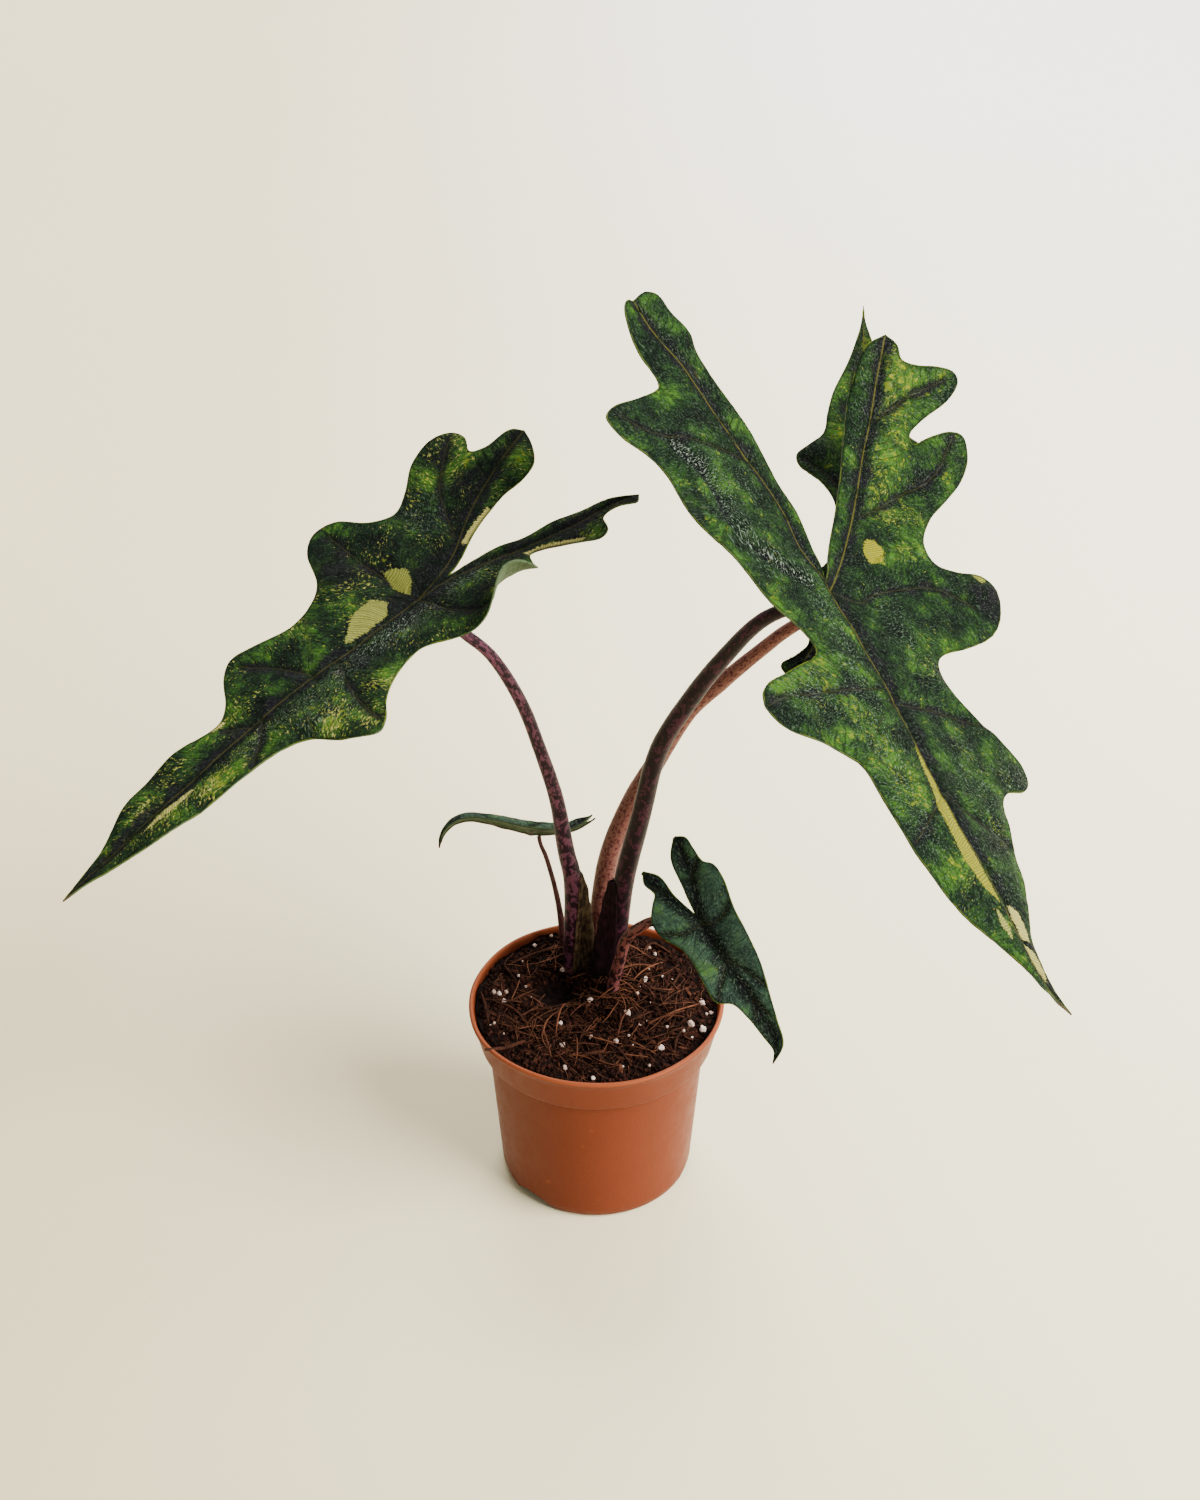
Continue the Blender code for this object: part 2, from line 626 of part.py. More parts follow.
def pot(collection):
    inside, lip, outside = pot_profile()
    bm = bmesh.new()
    points = [bm.verts.new((radius * MM, 0, z * MM)) for radius, z in inside + lip + outside]
    for first, second in zip(points, points[1:]):
        bm.edges.new((first, second))
    made = object_from_bmesh("pot", bm, collection)
    screw = made.modifiers.new("turned", "SCREW")
    screw.steps = POT_SIDES
    screw.render_steps = POT_SIDES
    screw.use_merge_vertices = True
    screw.merge_threshold = 0.00002
    made = as_mesh(made, collection)
    slots = new_collection("drain_slots", hidden=True)
    for angle in DRAIN_ANGLES:
        arch_cutter("drain_slot", angle, DRAIN_WIDTH, DRAIN_HEIGHT, slots)
    arch_cutter("nick", NICK_ANGLE, NICK_WIDTH, NICK_HEIGHT, slots)
    boolean(made, "DIFFERENCE", slots)
    finish(made, TERRACOTTA, 0.5, 35)
    return made


def soil_height(x, y):
    """Height of the loose top of the soil, with clods and the hollow beside the stem."""
    radius = math.hypot(x, y)
    crown = SOIL_CROWN * (1 - (radius / BAND_FOOT_RADIUS) ** 2)
    clods = 0.7 * math.sin(0.21 * x + 1.3 * math.sin(0.13 * y))
    clods += 0.6 * math.sin(0.27 * y + 1.1 * math.sin(0.19 * x + 2))
    clods += 0.4 * math.sin(0.55 * x + 0.4) * math.sin(0.47 * y + 1.7)
    away = math.hypot(x - HOLLOW_CENTRE[0], y - HOLLOW_CENTRE[1]) / HOLLOW_WIDTH
    hollow = HOLLOW_DEPTH * math.exp(-(away**2))
    return SOIL_WALL_Z + crown + clods - hollow


def soil_body(collection):
    """Rings of points: up the pot's inside from the floor, then in across the loose top."""
    inside = pot_profile()[0]
    wall = [(radius - GAP, z) for radius, z in inside[2:] if z < SOIL_WALL_Z - 4]
    wall.insert(0, (inside[1][0] - GAP, inside[1][1] + GAP))
    radii, heights = zip(*inside)
    top_radius = float(np.interp(SOIL_WALL_Z, heights[1:], radii[1:])) - GAP - 0.4
    bm = bmesh.new()
    rings = []
    for radius, z in wall:
        rings.append([(radius, z)] * SOIL_SIDES)
    for ring in range(SOIL_RINGS):
        radius = top_radius * (1 - ring / SOIL_RINGS)
        rings.append([(radius, None)] * SOIL_SIDES)
    rows = []
    for ring in rings:
        row = []
        for side, (radius, z) in enumerate(ring):
            angle = 2 * math.pi * side / SOIL_SIDES
            x, y = radius * math.cos(angle), radius * math.sin(angle)
            row.append(bm.verts.new(Vector((x, y, soil_height(x, y) if z is None else z)) * MM))
        rows.append(row)
    for lower, upper in zip(rows, rows[1:]):
        for side in range(SOIL_SIDES):
            after = (side + 1) % SOIL_SIDES
            bm.faces.new((lower[side], lower[after], upper[after], upper[side]))
    bm.faces.new(rows[0][::-1])
    crown = bm.verts.new(Vector((0, 0, soil_height(0, 0))) * MM)
    for side in range(SOIL_SIDES):
        bm.faces.new((rows[-1][side], rows[-1][(side + 1) % SOIL_SIDES], crown))
    bmesh.ops.triangulate(bm, faces=[face for face in bm.faces if len(face.verts) == 4])
    return object_from_bmesh("soil", bm, collection)


def scatter(rng, inner, outer):
    """A random place on the soil between two radii, clear of the stalks."""
    while True:
        radius = math.sqrt(rng.uniform(inner**2, outer**2))
        angle = rng.uniform(-math.pi, math.pi)
        x, y = radius * math.cos(angle), radius * math.sin(angle)
        if math.hypot(x - STEM_CENTRE[0], y - STEM_CENTRE[1] + 5) > 27:
            return x, y


def soil_litter(collection):
    """Coir fibres, bark chips and pale grains, each sunk well into the soil."""
    rng = np.random.default_rng(SOIL_SEED)
    for number in range(FIBRES):
        x, y = scatter(rng, 0, 44)
        heading = rng.uniform(0, math.pi)
        half = rng.uniform(4, 7)
        ends = []
        for share in (-1, 0, 1):
            px = x + share * half * math.cos(heading + 0.3 * share)
            py = y + share * half * math.sin(heading + 0.3 * share)
            lift = 0.5 if share == 0 else -1.0
            ends.append((px, py, soil_height(px, py) + lift))
        hide_helper(tube("fibre", ends, [0.7, 0.8, 0.7], 4, collection))
    for number in range(CHIPS):
        x, y = scatter(rng, 8, 44)
        bm = bmesh.new()
        bmesh.ops.create_cube(bm, size=1)
        turn = Matrix.Rotation(rng.uniform(0, math.pi), 4, "Z")
        tilt = Matrix.Rotation(rng.uniform(-0.3, 0.3), 4, "X")
        size = Matrix.Diagonal((rng.uniform(6, 9) * MM, rng.uniform(2.5, 4) * MM, 3.2 * MM, 1))
        place = Matrix.Translation(Vector((x, y, soil_height(x, y) - 0.4)) * MM)
        bmesh.ops.transform(bm, verts=bm.verts, matrix=place @ turn @ tilt @ size)
        hide_helper(object_from_bmesh("chip", bm, collection))
    for number in range(GRAINS):
        x, y = scatter(rng, 6, 50)
        bm = bmesh.new()
        radius = rng.uniform(1.2, 1.8)
        bmesh.ops.create_icosphere(bm, subdivisions=1, radius=radius * MM)
        place = Vector((x, y, soil_height(x, y) + 0.3 * radius)) * MM
        bmesh.ops.translate(bm, verts=bm.verts, vec=place)
        hide_helper(object_from_bmesh("grain", bm, collection))


def round_cutter(name, x, y, z_low, z_high, radius, collection):
    bm = bmesh.new()
    bmesh.ops.create_cone(
        bm, cap_ends=True, segments=HOLE_SIDES, radius1=radius * MM, radius2=radius * MM,
        depth=(z_high - z_low) * MM,
    )
    bmesh.ops.translate(bm, verts=bm.verts, vec=Vector((x, y, (z_low + z_high) / 2)) * MM)
    hide_helper(object_from_bmesh(name, bm, collection))


def stalk_holes(collection):
    """A hole for the foot of each stalk, which stands upright there, and of its sheath."""
    for shape in STALKS.values():
        for line, radii in ((shape.line, shape.radii), (shape.sheath, shape.sheath_radii)):
            if line:
                x, y, _ = line[0]
                room = max(radii[:2]) + GAP + HOLE_ROOM
                round_cutter("hole", x, y, STALK_FOOT_Z - GAP, POT_HEIGHT + 8, room, collection)


def soil(collection):
    made = soil_body(collection)
    litter = new_collection("litter", hidden=True)
    soil_litter(litter)
    boolean(made, "UNION", litter)
    holes = new_collection("soil_holes", hidden=True)
    stalk_holes(holes)
    x, y = STEM_CENTRE
    round_cutter("socket", x, y, STEM_FOOT_Z - GAP, POT_HEIGHT + 8, STEM_RADIUS + GAP + 0.1, holes)
    boolean(made, "DIFFERENCE", holes)
    keep_largest_shell(made)
    finish(made, PEAT, 0.95)
    return made


def stem(collection):
    """The short upright stem that the leaf stalks grow from, with a domed top."""
    profile = [
        (0, STEM_TOP_Z), (STEM_RADIUS * 0.4, STEM_TOP_Z - 0.5), (STEM_RADIUS * 0.75, STEM_TOP_Z - 2.5),
        (STEM_RADIUS, STEM_TOP_Z - 7), (STEM_RADIUS, STEM_FOOT_Z + 2),
        (STEM_RADIUS - 2, STEM_FOOT_Z), (0, STEM_FOOT_Z),
    ]
    bm = bmesh.new()
    points = [bm.verts.new((radius * MM, 0, z * MM)) for radius, z in profile]
    for first, second in zip(points, points[1:]):
        bm.edges.new((first, second))
    made = object_from_bmesh("stem", bm, collection)
    screw = made.modifiers.new("turned", "SCREW")
    screw.steps = 28
    screw.render_steps = 28
    screw.use_merge_vertices = True
    screw.merge_threshold = 0.00002
    made = as_mesh(made, collection)
    for vertex in made.data.vertices:
        vertex.co.x += STEM_CENTRE[0] * MM
        vertex.co.y += STEM_CENTRE[1] * MM
    holes = new_collection("stem_holes", hidden=True)
    stalk_holes(holes)
    boolean(made, "DIFFERENCE", holes)
    finish(made, STEM_BROWN, 0.9, 40)
    return made


def main():
    clear_scene()
    plant = new_collection("potted_alocasia")
    pot(plant)
    soil(plant)
    stem(plant)
    for name, shape in STALKS.items():
        stalk(name, shape, LEAVES[name.replace("stalk", "blade")], plant)
    for name, leaf in LEAVES.items():
        blade(name, leaf, YOUNG_GREEN if "small" in name else LEAF_GREEN, plant)


main()
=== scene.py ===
# %% [markdown]
# # A potted alocasia
#
# The plant stands in a thin plastic nursery pot: five leaf stalks grow from a short stem,
# and each carries one arrow-shaped blade with deep, rounded lobes. This file takes the
# plain solids of the part and dresses them: finer blades with veins and mottling, swept
# stalks, a turned pot, and loose potting mix with fibres in it.
#
# Lengths are in millimetres until MM turns them into metres. The origin is the middle of
# the pot's foot on the floor, +Z is up, and the plant is seen from its front along +Y.

import json
import math
from dataclasses import dataclass

import bmesh
import bpy
import numpy as np
from mathutils import Matrix, Vector, kdtree, noise

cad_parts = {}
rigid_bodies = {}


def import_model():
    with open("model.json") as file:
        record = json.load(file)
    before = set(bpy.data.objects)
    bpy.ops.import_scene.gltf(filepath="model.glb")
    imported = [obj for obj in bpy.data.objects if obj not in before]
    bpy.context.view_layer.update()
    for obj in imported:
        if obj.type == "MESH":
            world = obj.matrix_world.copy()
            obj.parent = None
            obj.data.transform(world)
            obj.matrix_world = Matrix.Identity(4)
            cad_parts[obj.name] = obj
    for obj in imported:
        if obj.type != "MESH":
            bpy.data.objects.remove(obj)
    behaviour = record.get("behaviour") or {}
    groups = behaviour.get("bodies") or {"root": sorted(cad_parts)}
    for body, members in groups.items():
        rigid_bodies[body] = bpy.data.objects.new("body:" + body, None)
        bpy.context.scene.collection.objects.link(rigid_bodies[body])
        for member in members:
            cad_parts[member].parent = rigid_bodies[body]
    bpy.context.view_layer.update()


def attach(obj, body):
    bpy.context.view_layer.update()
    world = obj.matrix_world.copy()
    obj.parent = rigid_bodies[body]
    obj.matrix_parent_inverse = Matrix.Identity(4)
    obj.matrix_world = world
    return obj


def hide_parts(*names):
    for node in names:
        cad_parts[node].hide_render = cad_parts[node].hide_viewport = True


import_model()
MM = 0.001

# %% [markdown]
# ## Camera
#
# The photograph looks down on the plant from a little above. A camera's place can be found
# from things of known shape: the pot's rim is a circle, so the flatness of its ellipse gives
# the pitch, and how much its foot is smaller than the rim gives the distance. The tall frame
# makes Blender fit the 36 mm sensor to the height.

# %% Camera
CAMERA_PLACE = (1.8, -866.7, 835.0)
CAMERA_PITCH = 34.45
CAMERA_LENS = 57.6

camera_data = bpy.data.cameras.new("camera")
camera_data.lens = CAMERA_LENS
camera_data.sensor_width = 36
camera = bpy.data.objects.new("camera", camera_data)
bpy.context.scene.collection.objects.link(camera)
camera.location = Vector(CAMERA_PLACE) * MM
camera.rotation_euler = (math.radians(90 - CAMERA_PITCH), 0, 0)
bpy.context.scene.camera = camera
print("camera at", CAMERA_PLACE)

# %% [markdown]
# ## Helpers for node trees
#
# Materials and Geometry Nodes are both trees of nodes. One helper that adds a node, sets
# its values and links what is already a socket keeps each tree readable as a list of steps.

# %% Node helper
def add(tree, kind, inputs=None, out=0, **settings):
    """Adds a node. Inputs are given by name or number: a socket is linked, a value is set."""
    node = tree.nodes.new(kind)
    for name, value in settings.items():
        setattr(node, name, value)
    for name, value in (inputs or {}).items():
        socket = node.inputs[name]
        if isinstance(value, bpy.types.NodeSocket):
            tree.links.new(value, socket)
        else:
            socket.default_value = value
    return node.outputs[out]


def maths(tree, operation, first, second=0.0, third=0.0, clamp=False):
    values = {0: first, 1: second, 2: third}
    return add(tree, "ShaderNodeMath", values, operation=operation, use_clamp=clamp)


def ramp(tree, value, start, end, low=0.0, high=1.0):
    """A soft step from low to high as the value goes from start to end."""
    inputs = {"Value": value, "From Min": start, "From Max": end, "To Min": low, "To Max": high}
    return add(tree, "ShaderNodeMapRange", inputs, interpolation_type="SMOOTHSTEP")


def mix(tree, factor, first, second, blend="MIX"):
    inputs = {0: factor, 6: first, 7: second}
    return add(tree, "ShaderNodeMix", inputs, out=2, data_type="RGBA", blend_type=blend)


def attribute(tree, name, out="Fac"):
    return add(tree, "ShaderNodeAttribute", out=out, attribute_name=name)


def new_material(name):
    """A material with its tree and its Principled shader, whose sockets are set directly."""
    material = bpy.data.materials.new(name)
    material.use_nodes = True
    return material, material.node_tree, material.node_tree.nodes["Principled BSDF"]


def srgb(red, green, blue):
    """A colour as a screen shows it, 0 to 255, turned into the light that Blender mixes."""
    shares = [value / 255 for value in (red, green, blue)]
    linear = [s / 12.92 if s <= 0.04045 else ((s + 0.055) / 1.055) ** 2.4 for s in shares]
    return (*linear, 1.0)


def new_object(name, mesh):
    made = bpy.data.objects.new(name, mesh)
    bpy.context.scene.collection.objects.link(made)
    return made


print("helpers ready")

# %% [markdown]
# ## Floor and light
#
# The plant stands on a pale, warm studio sweep that fills the whole picture. The light is
# large and soft: it comes from the upper right and leaves only a faint shadow to the left
# of the pot. A big area light gives that, and a bright world fills the shadows.

# %% Floor
floor_mesh = bpy.data.meshes.new("floor")
shape = bmesh.new()
bmesh.ops.create_grid(shape, x_segments=8, y_segments=8, size=6)
shape.to_mesh(floor_mesh)
shape.free()
floor = new_object("floor", floor_mesh)
material, tree, shader = new_material("studio_paper")
place = add(tree, "ShaderNodeTexCoord", out="Object")
drift = add(tree, "ShaderNodeTexNoise", {"Vector": place, "Scale": 1.1, "Detail": 2.0})
aside, beyond = (add(tree, "ShaderNodeSeparateXYZ", {0: place}, out=number) for number in range(2))
# The paper's colour is darker at the left and near the front, and lighter to the right and far back: painted shade and
# painted light that follow the lamps' fall-off.
right = maths(tree, "MULTIPLY_ADD", drift, 0.2, ramp(tree, aside, -0.40, 0.40, 0.0, 0.9))
shaded_left_paper = mix(tree, ramp(tree, beyond, -0.35, 0.4), (0.47, 0.41, 0.23, 1), (0.68, 0.60, 0.37, 1))
lit_right_paper = mix(tree, ramp(tree, beyond, -0.35, 0.6), (0.77, 0.73, 0.49, 1), (0.94, 0.89, 0.70, 1))
lit_right_paper = mix(tree, ramp(tree, beyond, 0.5, 1.9), lit_right_paper, (0.95, 0.95, 0.93, 1))
paper = mix(tree, right, shaded_left_paper, lit_right_paper)
tree.links.new(paper, shader.inputs["Base Color"])
shader.inputs["Roughness"].default_value = 0.9
shader.inputs["Specular IOR Level"].default_value = 0.2
floor.data.materials.append(material)

# %% Light
def soft_light(name, place, target, size, power, colour):
    data = bpy.data.lights.new(name, "AREA")
    data.shape = "DISK"
    data.size = size
    data.energy = power
    data.color = colour
    lamp = bpy.data.objects.new(name, data)
    bpy.context.scene.collection.objects.link(lamp)
    lamp.location = place
    lamp.rotation_euler = (Vector(target) - Vector(place)).to_track_quat("-Z", "Y").to_euler()
    return lamp


soft_light("window", (2.7, -1.35, 2.5), (0.0, 0.0, 0.15), 3.0, 690, (1.0, 0.95, 0.88))
soft_light("overhead", (-0.2, 2.6, 2.6), (0.0, 1.2, 0.0), 2.4, 200, (1.0, 0.97, 0.93))
world = bpy.data.worlds.new("studio")
bpy.context.scene.world = world
world.use_nodes = True
world.node_tree.nodes["Background"].inputs["Color"].default_value = (1.0, 0.95, 0.87, 1)
world.node_tree.nodes["Background"].inputs["Strength"].default_value = 0.52

# %% [markdown]
# ## How a blade is drawn
#
# A real blade grows flat and then arches, folds along its ribs and twists. It is modelled
# the same way: an outline and ribs are drawn flat, in millimetres along and across the
# midrib, and a few plain numbers bend that drawing in space. The numbers are the ones that
# the solids use, so that the fine blades lie exactly on the plain ones.

# %% Smooth lines
def smooth_curve(points, steps=6):
    """A smooth curve through the points, whose tangents allow for uneven spacing."""
    points = np.array(points, float)
    gaps = np.sqrt(np.linalg.norm(np.diff(points, axis=0), axis=1))[:, None]
    slopes = np.diff(points, axis=0) / gaps
    between = (slopes[:-1] * gaps[1:] + slopes[1:] * gaps[:-1]) / (gaps[:-1] + gaps[1:])
    tangents = np.concatenate([slopes[:1], between, slopes[-1:]])
    rows = []
    for number, gap in enumerate(gaps):
        for step in range(steps):
            t = step / steps
            start = (2 * t**3 - 3 * t**2 + 1) * points[number]
            end = (3 * t**2 - 2 * t**3) * points[number + 1]
            leave = (t**3 - 2 * t**2 + t) * gap * tangents[number]
            arrive = (t**3 - t**2) * gap * tangents[number + 1]
            rows.append(start + end + leave + arrive)
    rows.append(points[-1])
    return np.array(rows)


def at_root(edge, roots):
    """Where an edge lies for each root, read from the smooth curve through its points."""
    curve = smooth_curve(edge)
    curve = curve[np.argsort(curve[:, 0])]
    along = np.interp(roots, curve[:, 0], curve[:, 1])
    across = np.interp(roots, curve[:, 0], curve[:, 2])
    return np.stack([along, across], 1)


def on_rib(rib, roots):
    curve = smooth_curve(rib)
    order = np.argsort(curve[:, 0])
    return np.stack([roots, np.interp(roots, curve[order, 0], curve[order, 1])], 1)


# %% Leaf values
@dataclass
class Leaf:
    """The flat drawing of a blade, and how it is bent. An edge lists (root, along, across):
    the side vein that leaves the rib at root reaches the edge at (along, across)."""

    joint: tuple
    heading: float
    droop: float
    roll: float
    midrib: list
    minus_rib: list
    plus_rib: list
    minus_edge: list
    plus_edge: list
    minus_sinus: list
    plus_sinus: list
    arch: float = 0
    back: float = 0
    fold: tuple = (0, 0)
    open_fold: tuple = (0, 0)
    back_fold: tuple = (0, 0)
    twist: tuple = (0, 0)
    hook: tuple = (0, 0)
    rolled: tuple = ()
    columns: tuple = (30, 30)
    row_step: float = 0.9
    laterals: tuple = ()
    creases: tuple = ()
    light: tuple = ()
    shine: tuple = ()
    dusk: tuple = ()
    patches: tuple = ()
    wave: float = 1.0
    quilt: float = 0.22


# %% [markdown]
# ### The left leaf
#
# The left leaf hangs towards the front left. Its two back lobes stand up behind the stalk,
# and the flap beside the joint is rolled up like a cup.

# %% Left leaf
LEFT = Leaf(
    joint=(-74, -8, 322), heading=-138, droop=17, roll=-5,
    arch=2, back=-6, fold=(7, 6), twist=(6, 7), rolled=((1, -24, 24, 14, 26),),
    midrib=[(0, 0), (37, -1), (67, -3), (134, 0), (176, 3), (192, 4)],
    minus_rib=[(0, 0), (-13, -2), (-27, -7), (-50, -19), (-72, -26), (-92, -30)],
    plus_rib=[(0, 0), (-20, 4), (-40, 12), (-62, 22), (-82, 28), (-98, 34)],
    minus_edge=[
        (192, 192, 4), (160, 171, -2), (128, 144, -14), (104, 118, -17), (84, 98, -15),
        (70, 89, -20), (61, 81, -31), (54, 73, -36), (46, 61, -34), (35, 45, -30),
        (25, 32, -32), (15, 23, -38), (7, 15, -54), (3, 6, -60), (-2, -4, -57),
        (-8, -13, -46), (-14, -24, -41), (-21, -36, -47), (-27, -47, -55), (-33, -60, -58),
        (-40, -70, -54), (-47, -72, -47), (-54, -68, -40), (-64, -74, -36), (-78, -87, -35),
        (-92, -92, -30),
    ],
    plus_edge=[
        (192, 192, 4), (158, 171, 10), (130, 142, 19), (112, 123, 19), (97, 107, 20),
        (80, 89, 22), (66, 79, 27), (52, 71, 40), (46, 62, 51), (41, 55, 47),
        (34, 47, 37), (26, 34, 28), (17, 20, 25), (10, 9, 32), (4, 0, 41),
        (-2, -9, 48), (-9, -20, 52), (-17, -31, 50), (-24, -38, 40), (-31, -42, 28),
        (-40, -47, 21), (-48, -58, 30), (-55, -69, 40), (-62, -75, 39), (-72, -79, 32),
        (-83, -87, 32), (-91, -94, 37), (-98, -98, 34),
    ],
    minus_sinus=[
        (0, -17, 1), (-18, -26, -2), (-30, -38, -7), (-44, -51, -11), (-56, -62, -13),
        (-66, -73, -12), (-74, -82, -14), (-83, -88, -21), (-92, -92, -30),
    ],
    plus_sinus=[
        (0, -17, 1), (-20, -26, 2), (-32, -38, 5), (-48, -53, 11), (-64, -69, 17),
        (-80, -85, 24), (-98, -98, 34),
    ],
    columns=(44, 44),
    laterals=(
        [(-33, -13), (-39, -25), (-43, -32), (-47, -37), (-57, -45), (-66, -51)],
        [(3, -8), (2, -19), (3, -30), (3, -41), (3, -53)],
        [(55, -2), (64, -19), (72, -30)],
        [(45, 1), (53, 23), (56, 43)],
        [(0, 0), (-3, 14), (-8, 30), (-12, 44)],
        [(-40, 11), (-52, 24), (-64, 34)],
        [(88, -2), (98, -10)],
        [(84, -2), (94, 10), (102, 17)],
    ),
    light=(
        (-78, -21, 8, 5, 0.8), (-62, -37, 9, 6, 0.8), (-50, -39, 8, 6, 0.6), (-45, -44, 5, 5, 0.7),
        (-68, -52, 5, 4, 0.8), (90, -12, 12, 4, 0.9), (110, 8, 14, 6, 0.9), (140, 10, 22, 6, 1.0),
        (45, 26, 8, 6, 0.7), (60, 42, 9, 9, 1.0), (120, 14, 12, 5, 1.0), (97, 14, 10, 6, 0.9),
        (127, -8, 14, 4, 0.7), (20, -30, 12, 8, 0.35), (70, 18, 12, 8, 0.6), (-16, 42, 14, 6, 0.7),
        (-46, 16, 12, 6, 0.6), (-66, 36, 10, 5, 0.7), (50, -24, 14, 6, 0.6), (165, 6, 14, 4, 0.7),
        (-26, 38, 12, 9, 1.3), (6, 30, 8, 8, 0.7), (36, 32, 10, 5, 1.0), (66, 30, 12, 8, 1.0),
        (-80, -28, 8, 5, 0.7), (20, -20, 10, 8, 0.5), (150, -4, 14, 4, 0.9), (170, 2, 12, 4, 0.9),
    ),
    shine=((40, 6, 30, 5, 0.8), (20, 8, 14, 6, 0.9), (90, 6, 30, 4, 0.5), (70, 20, 12, 10, 0.5),
           (-30, -30, 12, 10, 0.4), (-20, 10, 12, 4, 0.6)),
    dusk=((14, -38, 14, 12, 1.0), (4, -3, 16, 9, 1.3), (-60, -30, 12, 4, 0.9), (70, -26, 6, 6, 0.6),
          (-12, 4, 12, 6, 1.0), (24, 8, 20, 7, 0.5), (40, 10, 10, 8, 0.6), (-20, -8, 16, 6, 0.8)),
    patches=(
        (0.45, [(0, -21), (-4, -19), (-7, -14), (-4, -8), (1, -4), (3, -12)]),
        (0.55, [(36, -5), (25, -13), (14, -14), (10, -8), (15, -3), (26, -3)]),
        (0.8, [(124, 5), (140, 4), (150, 6), (146, 7.4), (130, 7)]),
        (0.9, [(-45, 18), (-51, 21), (-59, 28), (-66, 35), (-58, 33), (-50, 26), (-45, 22)]),
        (0.9, [(-33, -6), (-42, -8.4), (-53, -11), (-53, -13.4), (-42, -11), (-33, -8.2)]),
        (0.7, [(-26, 45), (-33, 47), (-38, 41), (-35, 36), (-30, 41)]),
        (0.9, [(95, -13), (101, -14), (103, -17), (97, -17)]),
    ),
)
print("left leaf:", len(LEFT.minus_edge) + len(LEFT.plus_edge), "edge points")

# %% [markdown]
# ### The big front leaf
#
# The largest leaf faces the viewer and hangs to the front right. Its back lobes stand high
# above the joint, and a crease runs from the joint into the left one.

